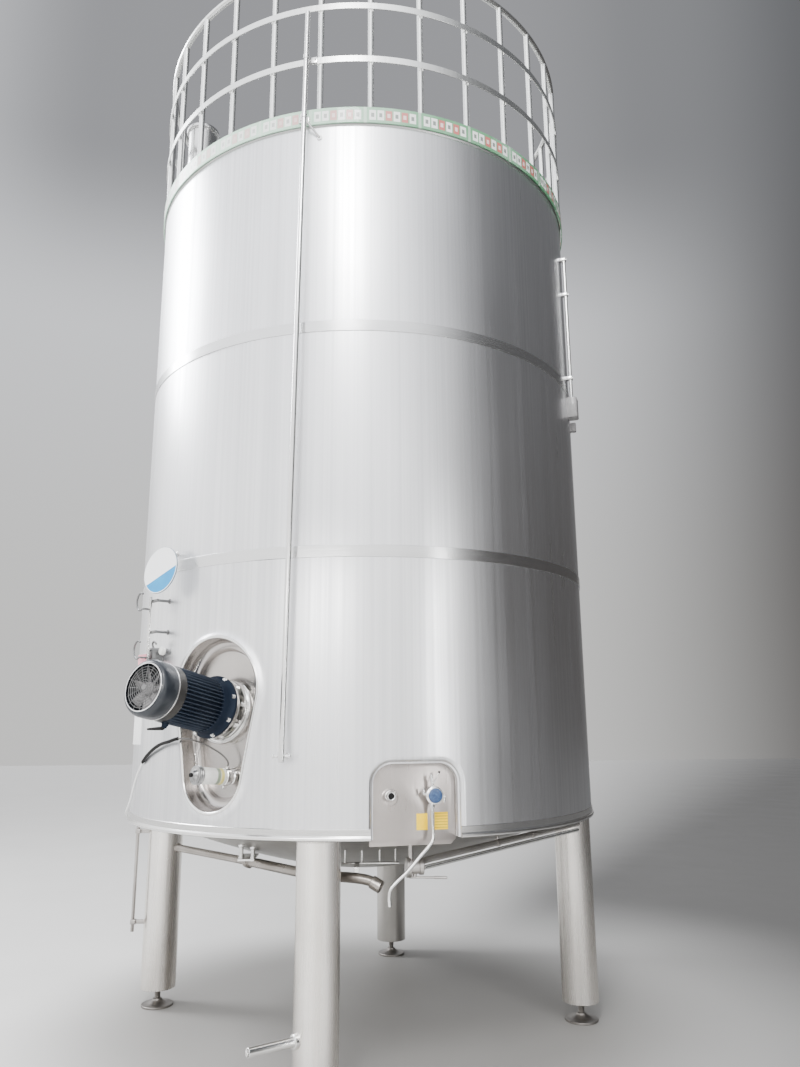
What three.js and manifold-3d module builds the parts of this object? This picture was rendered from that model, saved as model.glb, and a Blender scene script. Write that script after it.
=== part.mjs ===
// A vertical insulated stainless storage tank on four adjustable legs.
// It has a domed bottom, a railed roof, a side-entry agitator in an egg-shaped recess and a
// small service panel at its lower edge. Sizes are in millimetres. +Z is up and the tank is
// seen from -Y in front. Its pieces are drawn round its axis, and at the end the tank is moved
// so that the origin is on the floor under the middle of the box that holds it.
// Azimuths are in degrees from the front (-Y) towards the right (+X).

import * as THREE from "three";
import { mergeVertices } from "three/addons/utils/BufferGeometryUtils.js";
import Module from "manifold-3d";

const wasm = await Module();
wasm.setup();

// Place of the tank's axis, which the agitator and the leg conduit put behind and right of the
// middle of the tank's box
const AXIS_X = 12.7;
const AXIS_Y = 108;

// Driving dimensions of the tank body
const TOUCH_GAP = 0.3;
const SHELL_RADIUS = 1350;
const WALL_THICKNESS = 140;
const INNER_RADIUS = SHELL_RADIUS - WALL_THICKNESS;
const RIM_Z = 1110;
const LOWER_JOINT_Z = 2434;
const UPPER_JOINT_Z = 3616;
const WALL_TOP_Z = 4800;
const ROOF_EDGE_Z = 4828;
const SEAM_AZIMUTH = 1.4;
const FACET = 6;
const QUARTER = 90;

// Bands and rim that cover the cladding joints
const BAND_THICKNESS = 4;
const BAND_HEIGHT = 60;
const RIM_BAND_HEIGHT = 50;
const RIM_BEAD_HEIGHT = 18;
const RIM_BEAD_DEPTH = 12;
const RIM_BAND_START = 19.4;

// Domed bottom and shallow conical roof
const DISH_DEPTH = 312;
const DISH_POWER = 1.6;
const DISH_THICKNESS = 80;
const DISH_RINGS = 5;
const END_SIDES = 28;
const ROOF_RADIUS = 1358;
const ROOF_FLAT_RADIUS = 1290;
const ROOF_RISE = 170;
const ROOF_THICKNESS = 60;
const ROOF_SLOPE = ROOF_RISE / ROOF_FLAT_RADIUS;

// Legs and feet
const LEG_AZIMUTH = -9.5;
const LEG_CIRCLE_RADIUS = 1237;
const LEG_RADIUS = 102;
const LEG_BOTTOM_Z = 100;
const LEG_SIDES = 20;
const FOOT_SIDES = 16;
const FOOT_RADIUS = 92.5;
const FOOT_PLATE_HEIGHT = 12;
const FOOT_CONE_HEIGHT = 40;
const FOOT_STEM_RADIUS = 17;

// Railing on the roof edge
const POST_AZIMUTH = 1.3;
const POST_SPACING = 12;
const POSTS_PER_PANEL = 5;
const RAILING_PANELS = 6;
const POST_RADIUS = 16.9;
const POST_CIRCLE_RADIUS = 1345;
const POST_SIDES = 6;
const TOE_BOARD_RADIUS = 1361;
const RAIL_FLAT_THICKNESS = 6;
const TOE_BOARD_BOTTOM_Z = 4809;
const TOE_BOARD_TOP_Z = 4907;
const HOOP_HEIGHT = 40;
const LOWER_HOOP_TOP_Z = 5240;
const UPPER_HOOP_TOP_Z = 5593;
const TOP_RAIL_Z = 5884;
const TOP_RAIL_RADIUS = 21;

// Egg-shaped recess for the agitator
const ALCOVE_AZIMUTH = -32.5;
const ALCOVE_UPPER_RADIUS = 250;
const ALCOVE_UPPER_Z = 1790;
const ALCOVE_LOWER_RADIUS = 180;
const ALCOVE_LOWER_Z = 1396;
const ALCOVE_TANGENT_ANGLE = Math.asin(
  (ALCOVE_UPPER_RADIUS - ALCOVE_LOWER_RADIUS) / (ALCOVE_UPPER_Z - ALCOVE_LOWER_Z),
);
const ALCOVE_FLOOR = 1240;
const ALCOVE_SHEET = 6;
const ALCOVE_LIP_WIDTH = 14;
const ALCOVE_LIP_HEIGHT = 12;
const ALCOVE_CURVE_STEPS = 9;
const CUT_REACH = 1500;

// Agitator: an axis that starts on the shell and tilts up as it comes out
const AGITATOR_Z = 1703;
const AGITATOR_TILT = 10.4;
const MOUNT_RADIUS = 161;
const MOUNT_TOP = -78;
const MOUNT_ROOT = -200;
const BEARING_FLANGE_RADIUS = 145;
const BEARING_NECK_RADIUS = 100;
const BEARING_FLANGE_HEIGHT = 18;
const MOTOR_FLANGE_RADIUS = 150;
const MOTOR_FLANGE_HEIGHT = 16;
const MOTOR_RADIUS = 129;
const MOTOR_LENGTH = 330;
const FAN_COVER_RADIUS = 131;
const FAN_COVER_LENGTH = 130;
const FAN_COVER_ROUNDING = 30;
const MOTOR_SIDES = 24;
const GLAND_PLACE = 300;
const GLAND_LENGTH = 118;
const GLAND_RADIUS = 9;

// Level transmitter in the lower part of the recess
const TRANSMITTER_BASE = new THREE.Vector3(55, -(ALCOVE_FLOOR + ALCOVE_SHEET), 1373);
const TRANSMITTER_DIRECTION = new THREE.Vector3(-0.2155, -0.972, 0.094);
const TRANSMITTER_PROFILE = [
  [0, 2],
  [30, 2],
  [30, 40],
  [43, 40],
  [43, 65],
  [38, 65],
  [38, 195],
  [44, 195],
  [44, 222],
  [24, 222],
  [11, 237],
  [11, 252],
  [0, 252],
];
const CABLE_RADIUS = 4;
const CABLE_SIDES = 8;
const CABLE_STEPS = 64;
const CABLE_GLAND_RADIUS = 9;

// Conduit tube on the left leg, where the cable goes in
const LEG_CONDUIT_X = -1382;
const LEG_CONDUIT_Y = 164;
const LEG_CONDUIT_TOP_Z = 1015;
const LEG_CONDUIT_BOTTOM_Z = 415;
const CONDUIT_RADIUS = 10;

// Service panel and its fittings
const PANEL_AZIMUTH = 10.15;
const PANEL_BACK = 1262;
const PANEL_FRONT = 1270;
const PANEL_LEFT = -190;
const PANEL_FOOT_LEFT = -200;
const PANEL_RIGHT = 211;
const PANEL_BOTTOM_Z = 1076;
const PANEL_TOP_Z = 1440;
const PANEL_CORNER_RADIUS = 90;
const PANEL_CHAMFER = 26;
const NICHE_RIGHT = 203;
const NICHE_TOP_Z = 1443;
const NICHE_LEFT = -230;
const VALVE_X = 99;
const VALVE_Z = 1296;
const OUTLET_TUBE_RADIUS = 8;

// Riser pipe in front of the wall
const RISER_RADIUS = 14;
const RISER_FOOT = new THREE.Vector3(-372, -1350, 1452);
const RISER_HEAD = new THREE.Vector3(-323, -1362, 5521);

// Pipes that hang below the rim
const DRAIN_Z = 920;
const DRAIN_THIN_RADIUS = 20;
const DRAIN_THICK_RADIUS = 24;
const DRAIN_UNION_RADIUS = 32;
const DRAIN_UNION_LENGTH = 28;
const DRAIN_MOUTH = new THREE.Vector3(-1081, -90, DRAIN_Z);
const DRAIN_UNION = new THREE.Vector3(-599, -616, DRAIN_Z);
const HANGER_TUBE_RADIUS = 11;
const BRIGHT_PIPE_RADIUS = 10;
const DARK_PIPE_RADIUS = 15;

const DEGREE = Math.PI / 180;
const UP = new THREE.Vector3(0, 0, 1);
const MERGE_DISTANCE = 0.001;

const tank = new THREE.Group();

// Finishes

function finish(color, roughness, metalness) {
  return new THREE.MeshStandardMaterial({ color, roughness, metalness });
}

const satinSteel = finish(0xc9c9c7, 0.35, 0.9);
const darkSteel = finish(0x8d8a86, 0.4, 0.9);
const brightSteel = finish(0xdddddc, 0.2, 1);
const motorPaint = finish(0x232d3c, 0.45, 0.1);
const fanCoverPaint = finish(0x5d6468, 0.4, 0.5);
const blackRubber = finish(0x1c1c1e, 0.7, 0);
const whitePlastic = finish(0xe6e7e4, 0.5, 0);
const palePaint = finish(0xdfe6dc, 0.45, 0.3);

// Adds one named piece to the tank or to a turned group in it.
function addPiece(name, geometry, material, parent = tank) {
  const piece = new THREE.Mesh(geometry, material);
  piece.name = name;
  parent.add(piece);
}

// A group whose -Y side faces out of the tank at an azimuth.
function facing(azimuth) {
  const group = new THREE.Group();
  group.rotation.z = azimuth * DEGREE;
  tank.add(group);
  return group;
}

// Solid joining and cutting

function solid(geometry) {
  const bare = geometry.clone();
  bare.deleteAttribute("normal");
  bare.deleteAttribute("uv");
  const merged = mergeVertices(bare, MERGE_DISTANCE);
  const corners = merged.index.array;
  const triangles = [];
  for (let i = 0; i < corners.length; i += 3) {
    const [a, b, c] = corners.slice(i, i + 3);
    if (a !== b && b !== c && c !== a) triangles.push(a, b, c);
  }
  const mesh = new wasm.Mesh({
    numProp: 3,
    vertProperties: Float32Array.from(merged.attributes.position.array),
    triVerts: Uint32Array.from(triangles),
  });
  return new wasm.Manifold(mesh);
}

function surface(manifold) {
  const mesh = manifold.getMesh();
  const geometry = new THREE.BufferGeometry();
  geometry.setAttribute("position", new THREE.BufferAttribute(mesh.vertProperties, mesh.numProp));
  geometry.setIndex(new THREE.BufferAttribute(mesh.triVerts, 1));
  geometry.computeVertexNormals();
  return geometry;
}

function joined(...geometries) {
  return surface(geometries.map(solid).reduce((whole, piece) => whole.add(piece)));
}

function cut(geometry, ...cutters) {
  return surface(cutters.map(solid).reduce((rest, cutter) => rest.subtract(cutter), solid(geometry)));
}

function common(geometry, other) {
  return surface(solid(geometry).intersect(solid(other)));
}

// Basic shapes

function polar(radius, azimuth) {
  return new THREE.Vector2(radius * Math.sin(azimuth * DEGREE), -radius * Math.cos(azimuth * DEGREE));
}

function arc(radius, from, to, steps) {
  return Array.from({ length: steps + 1 }, (_, i) => polar(radius, from + ((to - from) * i) / steps));
}

function upright(shape, bottom, top) {
  const geometry = new THREE.ExtrudeGeometry(shape, { depth: top - bottom, bevelEnabled: false });
  return geometry.translate(0, 0, bottom);
}

// Part of a ring about the tank's axis.
function ringSector(inner, outer, bottom, top, from, to, facet) {
  const steps = Math.max(1, Math.round((to - from) / facet));
  const outline = [...arc(outer, from, to, steps), ...arc(inner, from, to, steps).reverse()];
  return upright(new THREE.Shape(outline), bottom, top);
}

function fullRing(inner, outer, bottom, top) {
  const steps = 360 / FACET - 1;
  const last = SEAM_AZIMUTH + steps * FACET;
  const shape = new THREE.Shape(arc(outer, SEAM_AZIMUTH, last, steps));
  shape.holes.push(new THREE.Path(arc(inner, SEAM_AZIMUTH, last, steps)));
  return upright(shape, bottom, top);
}

// A turned shape about Z from [radius, height] pairs, listed up its outer side.
function turned(profile, sides, firstAzimuth = 0) {
  const points = profile.map(([radius, height]) => new THREE.Vector2(radius, height));
  return new THREE.LatheGeometry(points, sides, firstAzimuth * DEGREE).rotateX(Math.PI / 2);
}

function disc(radius, bottom, top, sides) {
  return turned([[0, bottom], [radius, bottom], [radius, top], [0, top]], sides);
}

// Turns a shape made along +Z to a direction and puts its start at a point.
function aimed(geometry, start, direction) {
  const turn = new THREE.Quaternion().setFromUnitVectors(UP, direction.clone().normalize());
  return geometry.applyQuaternion(turn).translate(start.x, start.y, start.z);
}

function rod(start, end, radius, sides) {
  const direction = end.clone().sub(start);
  return aimed(disc(radius, 0, direction.length(), sides), start, direction);
}

function bentTube(points, radius, sides, steps) {
  const section = new THREE.Shape(arc(radius, 0, 360 - 360 / sides, sides - 1));
  const extrudePath = new THREE.CatmullRomCurve3(points, false, "centripetal");
  return new THREE.ExtrudeGeometry(section, { steps, extrudePath, bevelEnabled: false });
}

// A box in a facing group, given by its limits across, outwards and upwards.
function block([left, right], [inside, outside], [bottom, top]) {
  const box = new THREE.BoxGeometry(right - left, outside - inside, top - bottom);
  return box.translate((left + right) / 2, -(inside + outside) / 2, (bottom + top) / 2);
}

// A flat outline, drawn across and up, made into a prism that points outwards.
function facePrism(shape, inside, outside, curveSegments = ALCOVE_CURVE_STEPS) {
  const depth = outside - inside;
  const prism = new THREE.ExtrudeGeometry(shape, { depth, bevelEnabled: false, curveSegments });
  return prism.rotateX(Math.PI / 2).translate(0, -inside, 0);
}

function outwards(x, outward, z) {
  return new THREE.Vector3(x, -outward, z);
}

// Points on the tank at an azimuth and a distance from the axis.
function onTank(azimuth, radius, z) {
  const point = polar(radius, azimuth);
  return new THREE.Vector3(point.x, point.y, z);
}

// A level arc about the tank's axis
class RoundCurve extends THREE.Curve {
  constructor(radius, z, from, to) {
    super();
    Object.assign(this, { radius, z, from, to });
  }

  getPoint(share) {
    return onTank(THREE.MathUtils.lerp(this.from, this.to, share), this.radius, this.z);
  }
}

// A drum with the wall's facets, seen from a group that faces an azimuth.
function shellDrum(radius, azimuth) {
  const profile = [[0, RIM_Z], [radius, RIM_Z], [radius, ROOF_EDGE_Z], [0, ROOF_EDGE_Z]];
  return turned(profile, 360 / FACET, SEAM_AZIMUTH - azimuth);
}

// Cuts a fitting to the wall that it stands on.
function seated(geometry, azimuth = 0) {
  return cut(geometry, shellDrum(SHELL_RADIUS + TOUCH_GAP, azimuth));
}

// Insulated wall: three courses, each in four quarters that start at the seam

function eggOutline(grow) {
  const shape = new THREE.Shape();
  const low = -ALCOVE_TANGENT_ANGLE;
  const high = Math.PI + ALCOVE_TANGENT_ANGLE;
  shape.absarc(0, ALCOVE_UPPER_Z, ALCOVE_UPPER_RADIUS + grow, low, high, false);
  shape.absarc(0, ALCOVE_LOWER_Z, ALCOVE_LOWER_RADIUS + grow, high, low + 2 * Math.PI, false);
  return shape;
}

function wallQuarter(index, bottom, top) {
  const halfGap = TOUCH_GAP / 2 / SHELL_RADIUS / DEGREE;
  const from = SEAM_AZIMUTH + index * QUARTER + halfGap;
  const to = SEAM_AZIMUTH + (index + 1) * QUARTER - halfGap;
  return ringSector(INNER_RADIUS, SHELL_RADIUS, bottom, top, from, to, FACET);
}

const QUARTER_NAMES = ["front_right", "rear_right", "rear_left", "front_left"];

function addCourse(name, bottom, top, cuts = {}) {
  QUARTER_NAMES.forEach((quarter, index) => {
    const plain = wallQuarter(index, bottom, top);
    const geometry = cuts[quarter] ? cut(plain, ...cuts[quarter]) : plain;
    addPiece(`${name}_${quarter}`, geometry, satinSteel);
  });
}

function addWalls() {
  const pocket = facePrism(eggOutline(TOUCH_GAP), ALCOVE_FLOOR, CUT_REACH);
  const niche = block(
    [NICHE_LEFT, NICHE_RIGHT],
    [PANEL_FRONT + TOUCH_GAP, CUT_REACH],
    [PANEL_BOTTOM_Z, NICHE_TOP_Z],
  );
  const plateBed = block(
    [NICHE_LEFT, PANEL_RIGHT + TOUCH_GAP],
    [PANEL_BACK - TOUCH_GAP, PANEL_FRONT + 2 * TOUCH_GAP],
    [PANEL_BOTTOM_Z, PANEL_TOP_Z + TOUCH_GAP],
  );
  addCourse("lower_wall", RIM_Z, LOWER_JOINT_Z - TOUCH_GAP, {
    front_left: [pocket.rotateZ(ALCOVE_AZIMUTH * DEGREE)],
    front_right: [niche.rotateZ(PANEL_AZIMUTH * DEGREE), plateBed.rotateZ(PANEL_AZIMUTH * DEGREE)],
  });
  addCourse("middle_wall", LOWER_JOINT_Z, UPPER_JOINT_Z - TOUCH_GAP);
  addCourse("upper_wall", UPPER_JOINT_Z, WALL_TOP_Z - TOUCH_GAP);
}

// Flat bands over the joints between courses, and the folded band at the rim
function addBands() {
  const inner = SHELL_RADIUS + TOUCH_GAP;
  const outer = inner + BAND_THICKNESS;
  for (const [name, joint] of [["lower_band", LOWER_JOINT_Z], ["upper_band", UPPER_JOINT_Z]]) {
    const bottom = joint - BAND_HEIGHT / 2;
    addPiece(name, fullRing(inner, outer, bottom, bottom + BAND_HEIGHT), satinSteel);
  }
  const end = SEAM_AZIMUTH + 360;
  const flat = ringSector(inner, outer, RIM_Z, RIM_Z + RIM_BAND_HEIGHT, RIM_BAND_START, end, FACET);
  const beadOuter = inner + RIM_BEAD_DEPTH;
  const bead = ringSector(inner, beadOuter, RIM_Z, RIM_Z + RIM_BEAD_HEIGHT, RIM_BAND_START, end, FACET);
  addPiece("rim_band", joined(flat, bead), brightSteel);
}

// Domed bottom: a thick dish whose edge stands inside the wall

function dishZ(radius, rimRadius) {
  return RIM_Z - DISH_DEPTH * (1 - (radius / rimRadius) ** DISH_POWER);
}

function dishProfile(grow) {
  const rimRadius = INNER_RADIUS * Math.cos((FACET / 2) * DEGREE) - TOUCH_GAP + grow;
  const underside = Array.from({ length: DISH_RINGS + 1 }, (_, i) => {
    const radius = (rimRadius * i) / DISH_RINGS;
    return [radius, dishZ(radius, rimRadius) - grow];
  });
  const innerEdge = rimRadius - DISH_THICKNESS;
  const topside = Array.from({ length: DISH_RINGS }, (_, i) => {
    const radius = (innerEdge * (DISH_RINGS - 1 - i)) / (DISH_RINGS - 1);
    return [radius, dishZ(radius, rimRadius) + DISH_THICKNESS];
  });
  return [...underside, [rimRadius, RIM_Z + DISH_THICKNESS], ...topside];
}

function dish(grow, turn = 0) {
  return turned(dishProfile(grow), END_SIDES, SEAM_AZIMUTH - turn);
}

// Roof: a thick shallow cone with a flat edge for the railing posts

function roofTopZ(radius) {
  return ROOF_EDGE_Z + Math.max(0, ROOF_FLAT_RADIUS - radius) * ROOF_SLOPE;
}

function roof(grow) {
  const profile = [
    [0, roofTopZ(0) - ROOF_THICKNESS],
    [INNER_RADIUS, WALL_TOP_Z],
    [ROOF_RADIUS, WALL_TOP_Z],
    [ROOF_RADIUS, ROOF_EDGE_Z + grow],
    [ROOF_FLAT_RADIUS, ROOF_EDGE_Z + grow],
    [0, roofTopZ(0) + grow],
  ];
  return turned(profile, END_SIDES, SEAM_AZIMUTH);
}

function addEnds() {
  addPiece("bottom_dish", dish(0), satinSteel);
  addPiece("roof", roof(0), satinSteel);
}

// Manway in the middle of the roof and the vent neck near its front left edge

function addRoofFittings() {
  const neckRadius = 250;
  const flangeRadius = 290;
  const flangeBottom = 5105;
  const flangeTop = 5117;
  const lidTop = 5175;
  const neckFoot = roofTopZ(neckRadius) + TOUCH_GAP;
  const neck = [
    [0, roofTopZ(0) + TOUCH_GAP],
    [neckRadius, neckFoot],
    [neckRadius, flangeBottom],
    [flangeRadius, flangeBottom],
    [flangeRadius, flangeTop],
    [0, flangeTop],
  ];
  addPiece("manway_neck", turned(neck, END_SIDES), satinSteel);
  const lid = [
    [0, flangeTop + TOUCH_GAP],
    [flangeRadius, flangeTop + TOUCH_GAP],
    [flangeRadius, flangeTop + 14],
    [230, lidTop - 28],
    [120, lidTop - 7],
    [0, lidTop],
  ];
  addPiece("manway_lid", turned(lid, END_SIDES), satinSteel);
  const vent = [
    [0, ROOF_EDGE_Z],
    [88, ROOF_EDGE_Z],
    [88, 5310],
    [102, 5310],
    [102, 5330],
    [82, 5352],
    [0, 5366],
  ];
  const ventNeck = turned(vent, LEG_SIDES).translate(-1040, -592, 0);
  addPiece("vent_neck", cut(ventNeck, roof(TOUCH_GAP)), brightSteel);
}

// Railing: toe board, posts, two flat hoops and a round top rail, in six panels

function railingPanel(index) {
  const halfGap = TOUCH_GAP / 2 / TOE_BOARD_RADIUS / DEGREE;
  const middle = POST_AZIMUTH - POST_SPACING / 2;
  const span = POSTS_PER_PANEL * POST_SPACING;
  const from = middle + index * span + halfGap;
  const to = from + span - 2 * halfGap;
  const outer = TOE_BOARD_RADIUS + RAIL_FLAT_THICKNESS;
  const flatBar = (bottom, top) =>
    ringSector(TOE_BOARD_RADIUS, outer, bottom, top, from, to, FACET);
  const posts = Array.from({ length: POSTS_PER_PANEL }, (_, i) => {
    const centre = polar(POST_CIRCLE_RADIUS, POST_AZIMUTH + index * span + i * POST_SPACING);
    const foot = new THREE.Vector3(centre.x, centre.y, ROOF_EDGE_Z + TOUCH_GAP);
    return rod(foot, foot.clone().setZ(TOP_RAIL_Z), POST_RADIUS, POST_SIDES);
  });
  const railSection = new THREE.Shape(arc(TOP_RAIL_RADIUS, 0, 360 - 360 / POST_SIDES, POST_SIDES - 1));
  const topRail = new THREE.ExtrudeGeometry(railSection, {
    steps: span / FACET,
    extrudePath: new RoundCurve(POST_CIRCLE_RADIUS, TOP_RAIL_Z, from, to),
    bevelEnabled: false,
  });
  return joined(
    flatBar(TOE_BOARD_BOTTOM_Z, TOE_BOARD_TOP_Z),
    flatBar(LOWER_HOOP_TOP_Z - HOOP_HEIGHT, LOWER_HOOP_TOP_Z),
    flatBar(UPPER_HOOP_TOP_Z - HOOP_HEIGHT, UPPER_HOOP_TOP_Z),
    topRail,
    ...posts,
  );
}

function addRailing() {
  for (let index = 0; index < RAILING_PANELS; index += 1) {
    addPiece(`railing_panel_${index + 1}`, railingPanel(index), palePaint);
  }
}

// Legs: round tubes cut to the dish, each on a screwed foot

const LEG_NAMES = ["front", "right", "rear", "left"];

function addLegs() {
  const tube = disc(LEG_RADIUS, LEG_BOTTOM_Z, RIM_Z - TOUCH_GAP, LEG_SIDES);
  tube.translate(0, -LEG_CIRCLE_RADIUS, 0);
  const leg = cut(tube, dish(TOUCH_GAP, LEG_AZIMUTH));
  const foot = turned(
    [
      [0, 0],
      [FOOT_RADIUS, 0],
      [FOOT_RADIUS, FOOT_PLATE_HEIGHT],
      [FOOT_RADIUS * 0.6, FOOT_PLATE_HEIGHT + 8],
      [FOOT_STEM_RADIUS * 1.5, FOOT_CONE_HEIGHT],
      [FOOT_STEM_RADIUS, FOOT_CONE_HEIGHT],
      [FOOT_STEM_RADIUS, LEG_BOTTOM_Z - TOUCH_GAP],
      [0, LEG_BOTTOM_Z - TOUCH_GAP],
    ],
    FOOT_SIDES,
  ).translate(0, -LEG_CIRCLE_RADIUS, 0);
  LEG_NAMES.forEach((name, index) => {
    const group = facing(LEG_AZIMUTH + index * QUARTER);
    addPiece(`leg_${name}`, leg, satinSteel, group);
    addPiece(`foot_${name}`, foot, darkSteel, group);
  });
  addLegStub();
}

// Short tube with a collar, welded to the left side of the front leg
function addLegStub() {
  const legCentre = polar(LEG_CIRCLE_RADIUS, LEG_AZIMUTH);
  const inside = new THREE.Vector3(legCentre.x, legCentre.y, 286);
  const direction = new THREE.Vector3(-0.83, -0.56, 0.02).normalize();
  const tube = disc(20, 0, 330, 12);
  const bore = disc(17, 290, 340, 12);
  const collar = disc(31, 0, 118, 12);
  const stub = cut(joined(aimed(tube, inside, direction), aimed(collar, inside, direction)),
    aimed(bore, inside, direction),
    disc(LEG_RADIUS + TOUCH_GAP, 0, RIM_Z, LEG_SIDES)
      .translate(0, -LEG_CIRCLE_RADIUS, 0)
      .rotateZ(LEG_AZIMUTH * DEGREE),
  );
  addPiece("leg_stub_tube", stub, brightSteel);
}

// Recess liner: a dished sheet pocket with a raised rounded lip on the shell

function alcoveLiner() {
  const lipRadius = SHELL_RADIUS + ALCOVE_LIP_HEIGHT;
  const drum = shellDrum(lipRadius, ALCOVE_AZIMUTH);
  const wallDrum = shellDrum(SHELL_RADIUS + TOUCH_GAP, ALCOVE_AZIMUTH);
  const seat = ALCOVE_FLOOR + TOUCH_GAP;
  const pocket = common(facePrism(eggOutline(0), seat, CUT_REACH), drum);
  const lip = cut(common(facePrism(eggOutline(ALCOVE_LIP_WIDTH), SHELL_RADIUS - 60, CUT_REACH), drum), wallDrum);
  const hollow = facePrism(eggOutline(-ALCOVE_SHEET), seat + ALCOVE_SHEET, CUT_REACH);
  return cut(joined(pocket, lip), hollow);
}

// Agitator: wedge mount, bearing lantern, motor and fan cover on one tilted axis

function agitatorShape(geometry) {
  const direction = new THREE.Vector3(
    0,
    -Math.cos(AGITATOR_TILT * DEGREE),
    Math.sin(AGITATOR_TILT * DEGREE),
  );
  return aimed(geometry, outwards(0, SHELL_RADIUS, AGITATOR_Z), direction);
}

function agitatorMount() {
  const profile = [
    [0, MOUNT_ROOT],
    [MOUNT_RADIUS, MOUNT_ROOT],
    [MOUNT_RADIUS, MOUNT_TOP],
    [BEARING_FLANGE_RADIUS, MOUNT_TOP],
    [BEARING_FLANGE_RADIUS, MOUNT_TOP + BEARING_FLANGE_HEIGHT],
    [BEARING_NECK_RADIUS, MOUNT_TOP + BEARING_FLANGE_HEIGHT],
    [BEARING_NECK_RADIUS, -BEARING_FLANGE_HEIGHT],
    [BEARING_FLANGE_RADIUS, -BEARING_FLANGE_HEIGHT],
    [BEARING_FLANGE_RADIUS, 0],
    [0, 0],
  ];
  const linerFront = ALCOVE_FLOOR + ALCOVE_SHEET + 2 * TOUCH_GAP;
  const behindFloor = block([-300, 300], [1000, linerFront], [1400, 2000]);
  return cut(agitatorShape(turned(profile, MOTOR_SIDES)), behindFloor);
}

function agitatorMotor() {
  const start = TOUCH_GAP;
  const body = turned(
    [
      [0, start],
      [MOTOR_FLANGE_RADIUS, start],
      [MOTOR_FLANGE_RADIUS, MOTOR_FLANGE_HEIGHT],
      [MOTOR_RADIUS, MOTOR_FLANGE_HEIGHT],
      [MOTOR_RADIUS, MOTOR_LENGTH],
      [0, MOTOR_LENGTH],
    ],
    MOTOR_SIDES,
  );
  const root = new THREE.Vector3(-10, -MOTOR_RADIUS + 4, GLAND_PLACE);
  const nut = aimed(disc(16, 0, 26, 8), root, new THREE.Vector3(-0.5, -1, 0));
  const bend = new THREE.Vector3(-18, -MOTOR_RADIUS - 16, GLAND_PLACE);
  const tip = new THREE.Vector3(-18 - GLAND_LENGTH, -MOTOR_RADIUS - 24, GLAND_PLACE - 4);
  const lead = rod(bend, tip, GLAND_RADIUS, 8);
  return agitatorShape(joined(body, nut, lead));
}

function fanCover() {
  const start = MOTOR_LENGTH + TOUCH_GAP;
  const end = MOTOR_LENGTH + FAN_COVER_LENGTH;
  const profile = [
    [0, start],
    [FAN_COVER_RADIUS, start],
    [FAN_COVER_RADIUS, end - FAN_COVER_ROUNDING],
    [FAN_COVER_RADIUS - 4, end - 15],
    [FAN_COVER_RADIUS - 13, end - 4],
    [FAN_COVER_RADIUS - FAN_COVER_ROUNDING, end],
    [0, end],
  ];
  return agitatorShape(turned(profile, MOTOR_SIDES));
}

function levelTransmitter() {
  const body = aimed(turned(TRANSMITTER_PROFILE, FOOT_SIDES), TRANSMITTER_BASE, TRANSMITTER_DIRECTION);
  const gland = rod(outwards(52, 1296, 1405), outwards(58, 1296, 1428), CABLE_GLAND_RADIUS, 12);
  const wallSide = block([-100, 200], [1100, ALCOVE_FLOOR + ALCOVE_SHEET + 2 * TOUCH_GAP], [1200, 1600]);
  return cut(joined(body, gland), wallSide);
}

function addAlcove() {
  const front = facing(ALCOVE_AZIMUTH);
  addPiece("alcove_liner", alcoveLiner(), satinSteel, front);
  addPiece("agitator_mount", agitatorMount(), brightSteel, front);
  addPiece("agitator_motor", agitatorMotor(), motorPaint, front);
  addPiece("fan_cover", fanCover(), fanCoverPaint, front);
  addPiece("level_transmitter", levelTransmitter(), brightSteel, front);
}

// Signal cable: from the transmitter, over the lip of the recess and round the wall to the
// conduit tube on the left leg
function cableRoute() {
  const inAlcove = [
    [58.3, 1296, 1428.4],
    [61, 1297, 1441],
    [56, 1302, 1456],
    [36, 1316, 1481],
    [4, 1338, 1506],
    [-36, 1362, 1530],
    [-84, 1382, 1548],
    [-136, 1394, 1556],
    [-186, 1396, 1555],
    [-240, 1386, 1543],
  ].map(([x, outward, z]) => outwards(x, outward, z).applyAxisAngle(UP, ALCOVE_AZIMUTH * DEGREE));
  const roundWall = [
    [-47.5, 1382, 1525],
    [-52, 1370, 1494],
    [-56.5, 1361, 1453],
    [-60.5, 1358, 1396],
    [-64, 1358, 1330],
    [-67, 1358, 1262],
    [-71, 1360, 1200],
    [-77, 1370, 1150],
    [-84, 1382, 1112],
    [-90.5, 1391, 1078],
    [-95, 1393, 1050],
  ].map(([azimuth, radius, z]) => onTank(azimuth, radius, z));
  const entry = [
    new THREE.Vector3(LEG_CONDUIT_X, LEG_CONDUIT_Y, LEG_CONDUIT_TOP_Z + 18),
    new THREE.Vector3(LEG_CONDUIT_X, LEG_CONDUIT_Y, LEG_CONDUIT_TOP_Z + TOUCH_GAP),
  ];
  return [...inAlcove, ...roundWall, ...entry];
}

function addCable() {
  addPiece("signal_cable", bentTube(cableRoute(), CABLE_RADIUS, CABLE_SIDES, CABLE_STEPS), blackRubber);
}

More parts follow.
